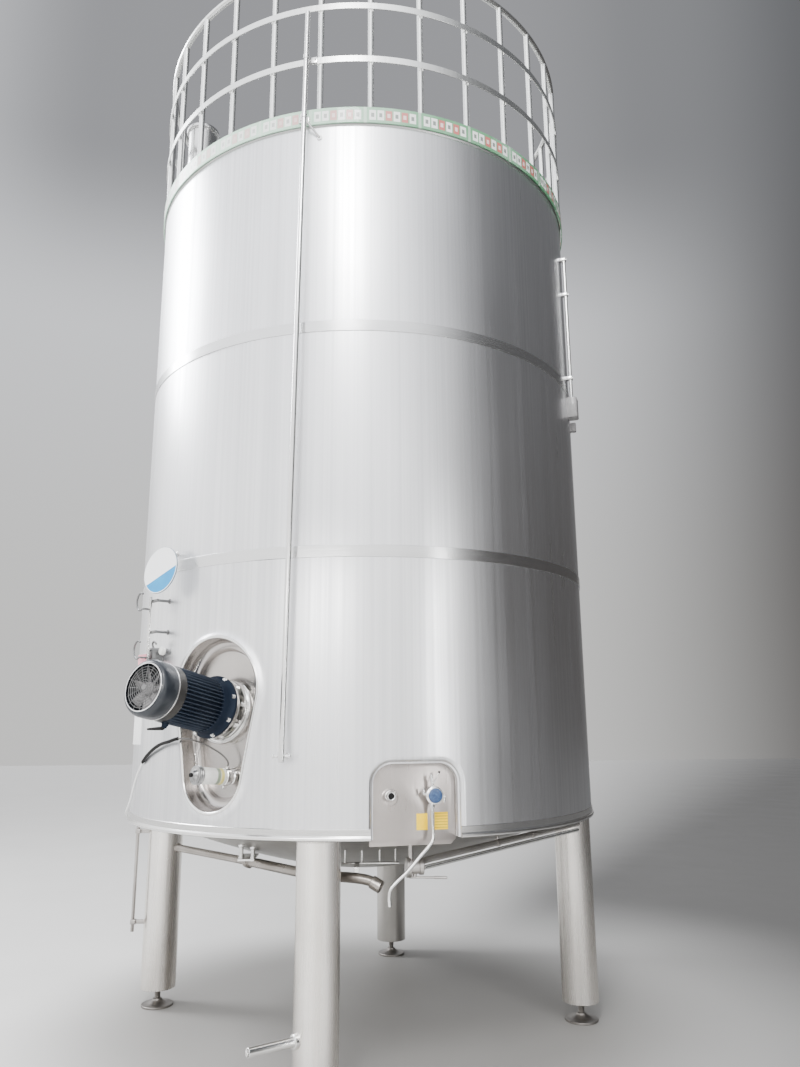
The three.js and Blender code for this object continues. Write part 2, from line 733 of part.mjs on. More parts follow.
function addLegConduit() {
  const top = new THREE.Vector3(LEG_CONDUIT_X, LEG_CONDUIT_Y, LEG_CONDUIT_TOP_Z);
  const tube = rod(top.clone().setZ(LEG_CONDUIT_BOTTOM_Z), top, CONDUIT_RADIUS, 12);
  const legCentre = polar(LEG_CIRCLE_RADIUS, LEG_AZIMUTH - QUARTER);
  const legSkin = disc(LEG_RADIUS + TOUCH_GAP, 0, RIM_Z, LEG_SIDES)
    .translate(0, -LEG_CIRCLE_RADIUS, 0)
    .rotateZ((LEG_AZIMUTH - QUARTER) * DEGREE);
  const armDepth = 34;
  const armHeight = 30;
  const armEnd = legCentre.x - LEG_RADIUS / 2;
  const arms = [985, 470].map((z) => {
    const box = new THREE.BoxGeometry(armEnd - LEG_CONDUIT_X, armDepth, armHeight);
    return box.translate((armEnd + LEG_CONDUIT_X) / 2, LEG_CONDUIT_Y, z);
  });
  addPiece("leg_conduit", cut(joined(tube, ...arms), legSkin), darkSteel);
}

// Round sign plate on a stand-off from the wall
function addSign() {
  const placeAzimuth = -47;
  const faceAzimuth = -36.9;
  const faceElevation = 6.8;
  const centre = onTank(placeAzimuth, 1440, 2404);
  const armZ = 2500;
  const heading = polar(Math.cos(faceElevation * DEGREE), faceAzimuth);
  const direction = new THREE.Vector3(heading.x, heading.y, Math.sin(faceElevation * DEGREE));
  const plate = aimed(disc(125, -4, 4, 28), centre, direction);
  const arm = rod(onTank(placeAzimuth, SHELL_RADIUS - 10, armZ), centre.clone().setZ(armZ), 9, 8);
  addPiece("round_sign", seated(joined(plate, arm)), whitePlastic);
}

// Hanger bar with two open hooks, left of the agitator, and the tag that hangs from it

function openHook(centreX, centreZ, outward) {
  const radius = 46;
  const points = Array.from({ length: 9 }, (_, i) => {
    const angle = (60 + i * 30) * DEGREE;
    return outwards(centreX + radius * Math.cos(angle), outward, centreZ + radius * Math.sin(angle));
  });
  return bentTube(points, 5, 6, 16);
}

function addHookBar() {
  const azimuth = -51.5;
  const front = facing(azimuth);
  const barFrom = 1424;
  const barTo = 1434;
  const bar = block([-9, 9], [barFrom, barTo], [1935, 2278]);
  const armEnd = SHELL_RADIUS - 10;
  const arms = [2255, 2092].map((z) => block([-6, 60], [barFrom - 12, barFrom + 2], [z - 6, z + 6]));
  const spacers = [2255, 2092].map((z) => block([48, 60], [armEnd, barFrom - 2], [z - 6, z + 6]));
  const hookArms = [2254, 2002].map((z) => block([-16, 0], [barTo - 5, barTo + 36], [z - 46, z - 34]));
  const hooks = [2254, 2002].map((z) => openHook(-46, z, barTo + 30));
  const links = [2254, 2002].map((z) => block([-36, -4], [barTo + 24, barTo + 36], [z - 46, z - 34]));
  const pieces = joined(bar, ...arms, ...spacers, ...hookArms, ...links, ...hooks);
  addPiece("hook_bar", seated(pieces, azimuth), brightSteel, front);
  const tag = block([-94, -4], [1436, 1440], [1550, 1934.7]);
  const tagHook = block([-9, 9], [1430, 1440], [1900, 1934.7]);
  addPiece("hanging_tag", joined(tag, tagHook), whitePlastic, front);
}

// Small valve block on the wall beside the hooks
function addWallValve() {
  const azimuth = -50.5;
  const front = facing(azimuth);
  const base = SHELL_RADIUS;
  const plate = block([-60, -6], [base - 10, base + 62], [1944, 2014]);
  const stem = aimed(disc(13, 0, 34, 12), outwards(34, base, 1994), new THREE.Vector3(0, -1, 0));
  const knob = aimed(disc(22, 16, 41, 12), outwards(34, base, 1994), new THREE.Vector3(0, -1, 0));
  const bridge = block([-10, 34], [base, base + 18], [1982, 2006]);
  addPiece("wall_valve", seated(joined(plate, bridge, stem, knob), azimuth), darkSteel, front);
}

// Riser pipe with its foot clip, a strut at the toe board and a clamp plate on the hoop
function addRiser() {
  const pipe = rod(RISER_FOOT, RISER_HEAD, RISER_RADIUS, 12);
  const at = (z) => {
    const share = (z - RISER_FOOT.z) / (RISER_HEAD.z - RISER_FOOT.z);
    return RISER_FOOT.clone().lerp(RISER_HEAD, share);
  };
  const towards = (point, radius) => point.clone().multiply(new THREE.Vector3(1, 1, 0)).setLength(radius);
  const clipPoint = at(1480);
  const wallFoot = towards(clipPoint, SHELL_RADIUS - 10).setZ(1480);
  const clipStem = rod(wallFoot, clipPoint, 12, 8);
  const across = new THREE.Vector3(Math.cos(-15.4 * DEGREE), Math.sin(-15.4 * DEGREE), 0);
  const armEnd = (side) => clipPoint.clone().addScaledVector(across, side);
  const clipArm = rod(armEnd(-44), armEnd(44), 9, 8);
  const strutTop = at(4830);
  const strutFoot = onTank(-10.6, SHELL_RADIUS + 6, 4735);
  const strut = rod(strutFoot, strutTop, 6, 8);
  const strutPad = rod(onTank(-10.6, SHELL_RADIUS - 10, 4735), strutFoot, 16, 8);
  const hoopFace = TOE_BOARD_RADIUS + RAIL_FLAT_THICKNESS + TOUCH_GAP;
  const pipeCentre = Math.hypot(RISER_HEAD.x, RISER_HEAD.y);
  const clampAt = (z, left, right) => {
    const point = at(z);
    const azimuth = Math.atan2(point.x, -point.y);
    const plate = block([left, right], [hoopFace, hoopFace + 8], [z - 18, z + 18]);
    const spacer = block([-10, 10], [hoopFace, pipeCentre], [z - 9, z + 9]);
    return [plate.rotateZ(azimuth), spacer.rotateZ(azimuth)];
  };
  const hoopClamp = clampAt(LOWER_HOOP_TOP_Z - HOOP_HEIGHT / 2, -14, 54);
  const toeClamp = clampAt(TOE_BOARD_BOTTOM_Z + 34, -38, 18);
  addPiece(
    "riser_pipe",
    seated(joined(pipe, clipStem, clipArm, strut, strutPad, ...hoopClamp, ...toeClamp)),
    brightSteel,
  );
}

// Service panel: a plate set back in a niche at the rim, with a port and a sample valve

function panelOutline() {
  const shape = new THREE.Shape();
  shape.moveTo(PANEL_FOOT_LEFT, PANEL_BOTTOM_Z);
  shape.lineTo(PANEL_RIGHT - PANEL_CHAMFER, PANEL_BOTTOM_Z);
  shape.lineTo(PANEL_RIGHT, PANEL_BOTTOM_Z + PANEL_CHAMFER);
  shape.lineTo(PANEL_RIGHT, PANEL_TOP_Z - PANEL_CORNER_RADIUS);
  const cornerZ = PANEL_TOP_Z - PANEL_CORNER_RADIUS;
  shape.absarc(PANEL_RIGHT - PANEL_CORNER_RADIUS, cornerZ, PANEL_CORNER_RADIUS, 0, Math.PI / 2, false);
  shape.absarc(PANEL_LEFT + PANEL_CORNER_RADIUS, cornerZ, PANEL_CORNER_RADIUS, Math.PI / 2, Math.PI, false);
  shape.lineTo(PANEL_LEFT, RIM_Z - TOUCH_GAP);
  shape.lineTo(PANEL_FOOT_LEFT, RIM_Z - TOUCH_GAP);
  return shape;
}

function fromPanel(profile, x, z, sides) {
  const start = outwards(x, PANEL_FRONT + TOUCH_GAP, z);
  return aimed(turned(profile, sides), start, new THREE.Vector3(0, -1, 0));
}

function sampleValve() {
  const body = fromPanel(
    [[0, 0], [24, 0], [24, 34], [41, 34], [41, 50], [32, 50], [32, 78], [26, 86], [0, 86]],
    VALVE_X,
    VALVE_Z,
    FOOT_SIDES,
  );
  const clampAt = 1312;
  const lugs = rod(outwards(46, clampAt, 1304), outwards(150, clampAt, 1290), 7, 8);
  const leftPin = rod(outwards(48, clampAt, 1296), outwards(46, clampAt, 1330), 6, 8);
  const wingNut = rod(outwards(146, clampAt, 1296), outwards(144, clampAt, 1262), 7, 8);
  const stem = rod(outwards(90, clampAt, 1330), outwards(84, clampAt, 1392), 7, 8);
  const spout = rod(outwards(87, clampAt, 1270), outwards(87, clampAt, 1226), 9, 8);
  const wire = rod(outwards(92, clampAt, 1336), outwards(120, clampAt + 4, 1396), 4, 6);
  const ball = new THREE.SphereGeometry(10, 8, 5).translate(121, -(clampAt + 4), 1399);
  return joined(body, lugs, leftPin, wingNut, stem, spout, wire, ball);
}

function outletTube() {
  const points = [
    [87, 1312, 1225.6],
    [87, 1312, 1180],
    [88, 1316, 1130],
    [85, 1322, 1105],
    [66, 1325, 1078],
    [26, 1325, 1037],
    [-37, 1325, 972],
    [-92, 1325, 926],
    [-114, 1325, 900],
    [-119, 1325, 870],
    [-117, 1325, 831],
  ].map(([x, outward, z]) => outwards(x, outward, z));
  return bentTube(points, OUTLET_TUBE_RADIUS, 8, 26);
}

function addServicePanel() {
  const front = facing(PANEL_AZIMUTH);
  addPiece("service_panel", facePrism(panelOutline(), PANEL_BACK, PANEL_FRONT, 8), satinSteel, front);
  const port = [[0, 0], [19, 0], [19, 22], [28, 22], [28, 34], [20, 40], [0, 40]];
  addPiece("panel_port", fromPanel(port, -104, 1297, FOOT_SIDES), satinSteel, front);
  addPiece("sample_valve", sampleValve(), brightSteel, front);
  addPiece("outlet_tube", outletTube(), brightSteel, front);
}

// Pipes below the rim

// A hanging tube that ends just below the dish or the wall.
function hangingTube(x, y, z, radius, sides = 8) {
  const topZ = Math.min(RIM_Z - TOUCH_GAP, dishZ(Math.hypot(x, y), INNER_RADIUS) + DISH_THICKNESS / 2);
  const tube = rod(new THREE.Vector3(x, y, z), new THREE.Vector3(x, y, topZ), radius, sides);
  return cut(tube, dish(TOUCH_GAP));
}

function drainUnion(grow) {
  const run = DRAIN_UNION.clone().sub(DRAIN_MOUTH).normalize();
  const half = DRAIN_UNION_LENGTH / 2 + grow;
  return aimed(disc(DRAIN_UNION_RADIUS + grow, -half, half, 16), DRAIN_UNION, run);
}

function addDrainPipe() {
  const run = DRAIN_UNION.clone().sub(DRAIN_MOUTH).normalize();
  const thin = rod(DRAIN_MOUTH, DRAIN_UNION, DRAIN_THIN_RADIUS, 12);
  const flare = aimed(disc(25, 0, 6, 12), DRAIN_MOUTH, run);
  const bore = aimed(disc(17, -5, 60, 12), DRAIN_MOUTH, run);
  const thick = bentTube(
    [
      DRAIN_UNION.clone().addScaledVector(run, -20),
      new THREE.Vector3(-510, -720, DRAIN_Z),
      new THREE.Vector3(-420, -828, DRAIN_Z),
      new THREE.Vector3(-336, -925, DRAIN_Z),
      new THREE.Vector3(-250, -1000, DRAIN_Z - 2),
      new THREE.Vector3(-150, -1050, DRAIN_Z - 5),
      new THREE.Vector3(-39, -1088, DRAIN_Z - 8),
      new THREE.Vector3(24, -1106, DRAIN_Z - 16),
      new THREE.Vector3(62, -1120, DRAIN_Z - 30),
    ],
    DRAIN_THICK_RADIUS,
    10,
    14,
  );
  const noseStart = new THREE.Vector3(40, -1112, DRAIN_Z - 21);
  const nose = rod(noseStart, new THREE.Vector3(84, -1128, DRAIN_Z - 44), 30, 12);
  addPiece("drain_pipe", cut(joined(thin, flare, thick, drainUnion(0), nose), bore), darkSteel);
}

// Two tubes welded to the dish, with a strap that carries the drain pipe
function addDrainHanger() {
  const strapBottom = DRAIN_Z + DRAIN_UNION_RADIUS - 4;
  const strapTop = strapBottom + 10;
  const tubes = [
    [-620, -760],
    [-559, -775],
  ].map(([x, y]) => hangingTube(x, y, strapBottom, HANGER_TUBE_RADIUS, 10));
  const strap = new THREE.BoxGeometry(84, 190, strapTop - strapBottom);
  strap.translate(-592, -695, (strapBottom + strapTop) / 2);
  addPiece("drain_hanger", cut(joined(...tubes, strap), drainUnion(TOUCH_GAP)), brightSteel);
}

// Flat bar on four thin rods, which carries the drain's valve end
function addValveBracket() {
  const barZ = 958;
  const rods = [-88, -6, 81, 158].map((x) => hangingTube(x, -960, barZ, 5, 6));
  const bar = new THREE.BoxGeometry(280, 34, 6).translate(35, -960, barZ);
  const clampBottom = DRAIN_Z + DRAIN_THICK_RADIUS + TOUCH_GAP - 6;
  const clamp = new THREE.BoxGeometry(26, 140, 6).translate(-30, -1030, barZ);
  const pad = new THREE.BoxGeometry(26, 30, barZ - clampBottom).translate(-30, -1088, (barZ + clampBottom) / 2);
  addPiece("valve_bracket", joined(...rods, bar, clamp, pad), brightSteel);
}

// Two service pipes that run to the right below the rim, with their union and hangers
function addServicePipes() {
  const darkStart = new THREE.Vector3(321, -1041, 985);
  const darkEnd = new THREE.Vector3(1196, -451, 1070);
  const darkPipe = rod(darkStart, darkEnd, DARK_PIPE_RADIUS, 8);
  const elbow = bentTube(
    [
      [340, -1028, 987],
      [300, -1056, 982],
      [262, -1096, 974],
      [236, -1130, 970],
    ].map(([x, y, z]) => new THREE.Vector3(x, y, z)),
    DARK_PIPE_RADIUS,
    8,
    5,
  );
  const valveStart = new THREE.Vector3(200, -1150, 965);
  const valveEnd = new THREE.Vector3(282, -1142, 965);
  const along = valveEnd.clone().sub(valveStart).normalize();
  const body = rod(valveStart, valveEnd, 34, 12);
  const clampRing = aimed(disc(45, 0, 22, 12), valveStart, along);
  const bracketTube = hangingTube(222, -1148, 980, 12);
  const lever = rod(new THREE.Vector3(214, -1152, 922), new THREE.Vector3(392, -1156, 919), 5, 6);
  const leverPost = rod(new THREE.Vector3(240, -1150, 919), new THREE.Vector3(240, -1150, 950), 9, 8);
  const hangers = [0.42, 0.66].map((share) => {
    const point = darkStart.clone().lerp(darkEnd, share);
    return hangingTube(point.x, point.y, point.z, 6, 6);
  });
  addPiece(
    "service_pipe",
    joined(darkPipe, elbow, body, clampRing, bracketTube, lever, leverPost, ...hangers),
    darkSteel,
  );
  const brightStart = new THREE.Vector3(270, -1151, 961);
  const brightEnd = new THREE.Vector3(1174, -534, 1047);
  const brightPipe = rod(brightStart, brightEnd, BRIGHT_PIPE_RADIUS, 12);
  const clearOfValve = rod(valveStart, valveEnd.addScaledVector(along, TOUCH_GAP), 34 + TOUCH_GAP, 12);
  addPiece("bright_pipe", cut(brightPipe, clearOfValve), brightSteel);
}

// Conduit on the right side of the wall, with clips, a junction box and a small box below it
function addWallConduit() {
  const azimuth = 68;
  const front = facing(azimuth);
  const base = SHELL_RADIUS;
  const tubeOut = 1378;
  const tube = rod(outwards(0, tubeOut, 3565), outwards(0, tubeOut, 4530), CONDUIT_RADIUS, 10);
  const clips = [4516, 4270, 3700].map((z) => block([-16, 16], [base - 10, tubeOut + 14], [z - 12, z + 12]));
  addPiece("wall_conduit", seated(joined(tube, ...clips), azimuth), brightSteel, front);
  const box = block([-38, 38], [base - 10, base + 62], [3434, 3564.7]);
  addPiece("junction_box", seated(box, azimuth), whitePlastic, front);
  const smallAzimuth = azimuth + 6;
  const smallBox = block([-22, 22], [base - 10, base + 36], [3400, 3455]);
  addPiece("small_box", seated(smallBox, smallAzimuth), whitePlastic, facing(smallAzimuth));
}

addWalls();
addBands();
addEnds();
addRoofFittings();
addRailing();
addLegs();
addAlcove();
addCable();
addLegConduit();
addSign();
addHookBar();
addWallValve();
addRiser();
addServicePanel();
addDrainPipe();
addDrainHanger();
addValveBracket();
addServicePipes();
addWallConduit();
tank.position.set(AXIS_X, AXIS_Y, 0);

export default tank;
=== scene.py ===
# Vertical insulated stainless storage tank on four legs, dressed for looks round its frame.
# Everything is in metres, with the floor at z = 0 and the front at -Y. Each piece is drawn round
# the tank's axis and then moved to where that axis stands in the frame. Azimuths are in degrees
# from the front towards the right (+X).

import math

import bpy
from mathutils import Matrix, Vector


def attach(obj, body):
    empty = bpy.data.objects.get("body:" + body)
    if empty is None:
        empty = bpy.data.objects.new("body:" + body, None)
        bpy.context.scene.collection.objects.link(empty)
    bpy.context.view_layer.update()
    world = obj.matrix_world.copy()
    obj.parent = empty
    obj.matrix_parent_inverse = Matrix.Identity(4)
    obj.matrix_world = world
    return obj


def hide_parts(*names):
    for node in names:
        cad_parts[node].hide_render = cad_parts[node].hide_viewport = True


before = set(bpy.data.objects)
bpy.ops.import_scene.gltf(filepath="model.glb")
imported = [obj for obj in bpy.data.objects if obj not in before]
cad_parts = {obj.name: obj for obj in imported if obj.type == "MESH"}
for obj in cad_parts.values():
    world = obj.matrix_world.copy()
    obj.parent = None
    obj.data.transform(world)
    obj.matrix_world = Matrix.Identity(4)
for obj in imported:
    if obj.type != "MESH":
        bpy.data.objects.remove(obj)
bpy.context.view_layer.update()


# Camera
# The place, turn and lens that the photograph was taken with, solved from the ellipses of the
# rim, the bands and the roof edge. It stands in front of the tank at eye height and looks up.

AXIS_PLACE = Vector((0.0127, 0.1080, 0.0))
CAMERA_PLACE = AXIS_PLACE + Vector((0.0, -5.243, 1.629))
CAMERA_YAW = math.radians(2.5586)
CAMERA_PITCH = math.radians(12.8586)
CAMERA_ROLL = math.radians(-0.4120)
CAMERA_LENS = 37.09

level_right = Vector((math.cos(CAMERA_YAW), -math.sin(CAMERA_YAW), 0.0))
look = Vector(
    (
        math.sin(CAMERA_YAW) * math.cos(CAMERA_PITCH),
        math.cos(CAMERA_YAW) * math.cos(CAMERA_PITCH),
        math.sin(CAMERA_PITCH),
    )
)
level_up = level_right.cross(look)
camera_right = level_right * math.cos(CAMERA_ROLL) + level_up * math.sin(CAMERA_ROLL)
camera_up = level_up * math.cos(CAMERA_ROLL) - level_right * math.sin(CAMERA_ROLL)
bpy.ops.object.camera_add()
camera = bpy.context.object
camera.name = "camera"
camera.matrix_world = Matrix.Translation(CAMERA_PLACE) @ Matrix(
    (camera_right, camera_up, -look)
).transposed().to_4x4()
camera.data.sensor_fit = "HORIZONTAL"
camera.data.sensor_width = 36.0
camera.data.lens = CAMERA_LENS
camera.data.clip_end = 100.0
bpy.context.scene.camera = camera


# Signal cable of the level transmitter
# A thin sheathed lead that leaves a gland on the transmitter, arches out over the lip of the
# recess in a black sleeve, and hangs down the cladding to the conduit tube on the left leg.

ALCOVE_AZIMUTH = -32.5
CABLE_DIAMETER = 0.008
CABLE_POINTS_PER_SPAN = 5
CONDUIT_PLACE = (-1.382, 0.164)
CONDUIT_TOP = 1.015
SLEEVE_FROM_X = -0.893
SLEEVE_TO_X = -1.160
SLEEVE_RADIUS = 0.0085


def on_tank(azimuth, radius, height):
    """A point at an azimuth in degrees and a distance from the tank's axis."""
    turn = math.radians(azimuth)
    return Vector((radius * math.sin(turn), -radius * math.cos(turn), height))


def facing(azimuth, across, outward, height):
    """A point given across, outwards and up in front of the wall at an azimuth."""
    turn = math.radians(azimuth)
    return Vector(
        (
            across * math.cos(turn) + outward * math.sin(turn),
            across * math.sin(turn) - outward * math.cos(turn),
            height,
        )
    )


def smooth_route(points, per_span):
    """A smooth line through points, with even knots along its chords."""
    ends = [points[0] * 2 - points[1], *points, points[-1] * 2 - points[-2]]
    route = [points[0]]
    for before, start, end, after in zip(ends, ends[1:], ends[2:], ends[3:]):
        lead = math.sqrt((start - before).length)
        span = math.sqrt((end - start).length)
        tail = math.sqrt((after - end).length)
        pull = (start - before) / lead - (end - before) / (lead + span) + (end - start) / span
        push = (end - start) / span - (after - start) / (span + tail) + (after - end) / tail
        for step in range(1, per_span + 1):
            t = step / per_span
            route.append(
                start * (2 * t**3 - 3 * t**2 + 1)
                + pull * span * (t**3 - 2 * t**2 + t)
                + end * (3 * t**2 - 2 * t**3)
                + push * span * (t**3 - t**2)
            )
    return route


class Reading:
    """A value in a finish that Python's own signs work on."""

    def __init__(self, finish, socket):
        self.finish = finish
        self.socket = socket

    def maths(self, operation, first, second):
        return self.finish.node("ShaderNodeMath", {"operation": operation}, {0: first, 1: second})

    def __add__(self, other):
        return self.maths("ADD", self, other)

    def __sub__(self, other):
        return self.maths("SUBTRACT", self, other)

    def __rsub__(self, other):
        return self.maths("SUBTRACT", other, self)

    def __mul__(self, other):
        return self.maths("MULTIPLY", self, other)

    def __truediv__(self, other):
        return self.maths("DIVIDE", self, other)

    def __gt__(self, other):
        return self.maths("GREATER_THAN", self, other)

    def __lt__(self, other):
        return self.maths("LESS_THAN", self, other)

    __radd__ = __add__
    __rmul__ = __mul__


class NodeTree:
    """The nodes of a finish or of the studio's light."""

    def __init__(self, tree, coordinates):
        self.tree = tree
        self.place = self.node("ShaderNodeTexCoord", output=coordinates)

    def node(self, kind, settings=None, values=None, output=0):
        made = self.tree.nodes.new(kind)
        for key, value in (settings or {}).items():
            setattr(made, key, value)
        for key, value in (values or {}).items():
            self.feed(made.inputs[key], value)
        return Reading(self, made.outputs[output])

    def feed(self, socket, value):
        if isinstance(value, Reading):
            self.tree.links.new(value.socket, socket)
        else:
            socket.default_value = value

    def noise(self, place, scale, detail):
        values = {"Vector": place, "Scale": scale, "Detail": detail}
        return self.node("ShaderNodeTexNoise", None, values)

    def stretched(self, scale):
        return self.node("ShaderNodeMapping", None, {"Vector": self.place, "Scale": scale})

    def coordinate(self, vector, axis):
        return self.node("ShaderNodeSeparateXYZ", None, {0: vector}, output=axis)

    def along(self, axis):
        return self.coordinate(self.place, axis)

    def reach(self, vector):
        return self.node("ShaderNodeVectorMath", {"operation": "LENGTH"}, {0: vector}, output=1)

    def angle_round(self):
        """Azimuth in radians, from the front towards the right."""
        values = {0: self.along(0), 1: self.along(1) * -1.0}
        return self.node("ShaderNodeMath", {"operation": "ARCTAN2"}, values)

    def between(self, value, low, high):
        return (value > low) * (value < high)

    def ranged(self, value, low, high, first=0.0, last=1.0):
        """Eases from first to last while the value goes from low to high."""
        settings = {"interpolation_type": "SMOOTHSTEP"}
        values = {0: value, 1: low, 2: high, 3: first, 4: last}
        return self.node("ShaderNodeMapRange", settings, values)

    def mixed(self, share, first, second):
        values = {0: share, 6: (*first, 1.0) if isinstance(first, tuple) else first}
        values[7] = (*second, 1.0) if isinstance(second, tuple) else second
        return self.node("ShaderNodeMix", {"data_type": "RGBA"}, values, output=2)


class Finish(NodeTree):
    """A material of one or more pieces."""

    def __init__(self, name, metallic=0.0, coat=0.0, specular=0.5):
        self.material = bpy.data.materials.new(name)
        self.material.use_nodes = True
        super().__init__(self.material.node_tree, "Object")
        to_axis = {"Vector": self.place, "Location": -AXIS_PLACE}
        self.place = self.node("ShaderNodeMapping", None, to_axis)
        self.shader = self.tree.nodes["Principled BSDF"]
        self.shader.inputs["Metallic"].default_value = metallic
        self.shader.inputs["Coat Weight"].default_value = coat
        self.shader.inputs["Specular IOR Level"].default_value = specular

    def seen_from(self, matrix):
        """Object coordinates as a piece that the matrix put in its place had them before."""
        values = {"Vector": self.place, "Location": matrix.translation, "Rotation": matrix.to_euler()}
        return self.node("ShaderNodeMapping", {"vector_type": "TEXTURE"}, values)

    def bumped(self, height, distance, strength=1.0):
        values = {"Height": height, "Distance": distance, "Strength": strength}
        normal = self.shader.inputs["Normal"]
        if normal.is_linked:
            values["Normal"] = Reading(self, normal.links[0].from_socket)
        self.feed(normal, self.node("ShaderNodeBump", None, values))

    def surface(self, colour, roughness):
        self.feed(self.shader.inputs["Base Color"], colour)
        self.feed(self.shader.inputs["Roughness"], roughness)


def fitted(piece, finish, slot, *nodes):
    """Moves a piece from round the axis to its place in the frame and gives it its finish."""
    piece.data.transform(Matrix.Translation(AXIS_PLACE))
    piece.data.materials.clear()
    piece.data.materials.append(finish.material)
    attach(piece, "root")
    if nodes:
        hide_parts(*nodes)
    return piece


in_alcove = [
    (0.0583, 1.296, 1.4284),
    (0.061, 1.297, 1.441),
    (0.056, 1.302, 1.456),
    (0.036, 1.316, 1.481),
    (0.004, 1.338, 1.506),
    (-0.036, 1.362, 1.530),
    (-0.084, 1.382, 1.548),
    (-0.136, 1.394, 1.556),
    (-0.186, 1.396, 1.555),
    (-0.240, 1.386, 1.543),
]
round_wall = [
    (-47.5, 1.382, 1.525),
    (-52, 1.370, 1.494),
    (-56.5, 1.361, 1.453),
    (-60.5, 1.358, 1.396),
    (-64, 1.358, 1.330),
    (-67, 1.358, 1.262),
    (-71, 1.360, 1.200),
    (-77, 1.370, 1.150),
    (-84, 1.382, 1.112),
    (-90.5, 1.391, 1.078),
    (-95, 1.393, 1.050),
]
cable_route = smooth_route(
    [facing(ALCOVE_AZIMUTH, *point) for point in in_alcove]
    + [on_tank(*point) for point in round_wall]
    + [Vector((*CONDUIT_PLACE, CONDUIT_TOP + 0.018)), Vector((*CONDUIT_PLACE, CONDUIT_TOP + 0.0003))],
    CABLE_POINTS_PER_SPAN,
)


def tube_along(name, places, radius, steps=4):
    """A round tube along a line of places, as a curve."""
    line = bpy.data.curves.new(name, "CURVE")
    line.dimensions = "3D"
    line.bevel_depth = radius
    line.bevel_resolution = steps
    line.use_fill_caps = True
    strand = line.splines.new("POLY")
    strand.points.add(len(places) - 1)
    for knot, place in zip(strand.points, places):
        knot.co = (*place, 1.0)
    piece = bpy.data.objects.new(name, line)
    bpy.context.scene.collection.objects.link(piece)
    return piece


cable = tube_along("signal_lead", cable_route, CABLE_DIAMETER / 2)
sheath = Finish("cable_sheath")
past_sleeve = sheath.along(0) < SLEEVE_TO_X
scuffs = sheath.noise(sheath.place, 180.0, 4.0)
bare = sheath.mixed(scuffs, (0.06, 0.056, 0.052), (0.13, 0.122, 0.115))
sheath.surface(sheath.mixed(past_sleeve, bare, (0.90, 0.90, 0.88)), scuffs * 0.2 + 0.42)
sheath.bumped(scuffs, 0.0002)
fitted(cable, sheath, "black_sheath", "signal_cable")
sleeve_route = [place for place in cable_route if SLEEVE_TO_X < place.x < SLEEVE_FROM_X]
sleeve = tube_along("lead_sleeve", sleeve_route, SLEEVE_RADIUS)
rubber = Finish("black_rubber", specular=0.08)
rubber_wear = rubber.noise(rubber.place, 120.0, 5.0)
black = rubber.mixed(rubber_wear, (0.004, 0.004, 0.004), (0.020, 0.019, 0.019))
rubber.surface(black, rubber_wear * 0.3 + 0.4)
rubber.bumped(rubber_wear, 0.0002)
fitted(sleeve, rubber, "black_sheath")
tuple(cable_route[0] + AXIS_PLACE)
sum((b - a).length for a, b in zip(cable_route, cable_route[1:]))


# Floor and light of the studio
# A pale floor with painted shade: a painted shadow under and just round the tank, and painted shade on
# the far right. Soft light as in a white studio: brightest behind the camera and on the left, and dim
# on the far right, where the steel mirrors a darker part of it.

FLOOR_HALF = 30.0
DIM_FROM = math.radians(6)
DIM_TO = math.radians(64)
DIM_UNTIL = math.radians(146)
DIM_END = math.radians(170)
REAR_FROM = math.radians(122)
REAR_TO = math.radians(152)
CEILING_FROM, CEILING_TO = 0.42, 0.60
CEILING_LEFT = math.radians(142)
CEILING_RIGHT = math.radians(160)
SHADE_FROM, SHADE_TO = 0.4, 4.0
UNDER_SHADOW_FROM, UNDER_SHADOW_TO = 1.1, 2.2


def right_side(tree):
    """How far a direction from the tank belongs to the dim side, from 0 to 1."""
    heading = tree.angle_round()
    return tree.ranged(heading, DIM_FROM, DIM_TO) * tree.ranged(heading, DIM_UNTIL, DIM_END, 1.0, 0.0)


bpy.ops.mesh.primitive_plane_add(size=2 * FLOOR_HALF)
floor = bpy.context.object
floor.name = "hall_floor"
floor_finish = Finish("pale_floor_with_painted_shade")
floor_clouds = floor_finish.noise(floor_finish.place, 1.2, 5.0)
floor_reach = floor_finish.reach(floor_finish.place)
# Painted shade: the floor's colour darkens on the far right, away from the tank.
in_shade = right_side(floor_finish) * floor_finish.ranged(floor_reach, SHADE_FROM, SHADE_TO)
pale = floor_finish.mixed(floor_clouds, (0.68, 0.67, 0.65), (0.76, 0.75, 0.73))
# Painted shadow: the floor is darkened under the tank and just round it.
under_tank_shadow = floor_finish.ranged(floor_reach, UNDER_SHADOW_FROM, UNDER_SHADOW_TO, 1.0, 0.0)
pale = floor_finish.mixed(under_tank_shadow, pale, (0.27, 0.262, 0.25))
floor_colour = floor_finish.mixed(in_shade, pale, (0.10, 0.098, 0.095))
floor_finish.surface(floor_colour, floor_clouds * 0.2 + 0.45)
floor.data.materials.append(floor_finish.material)

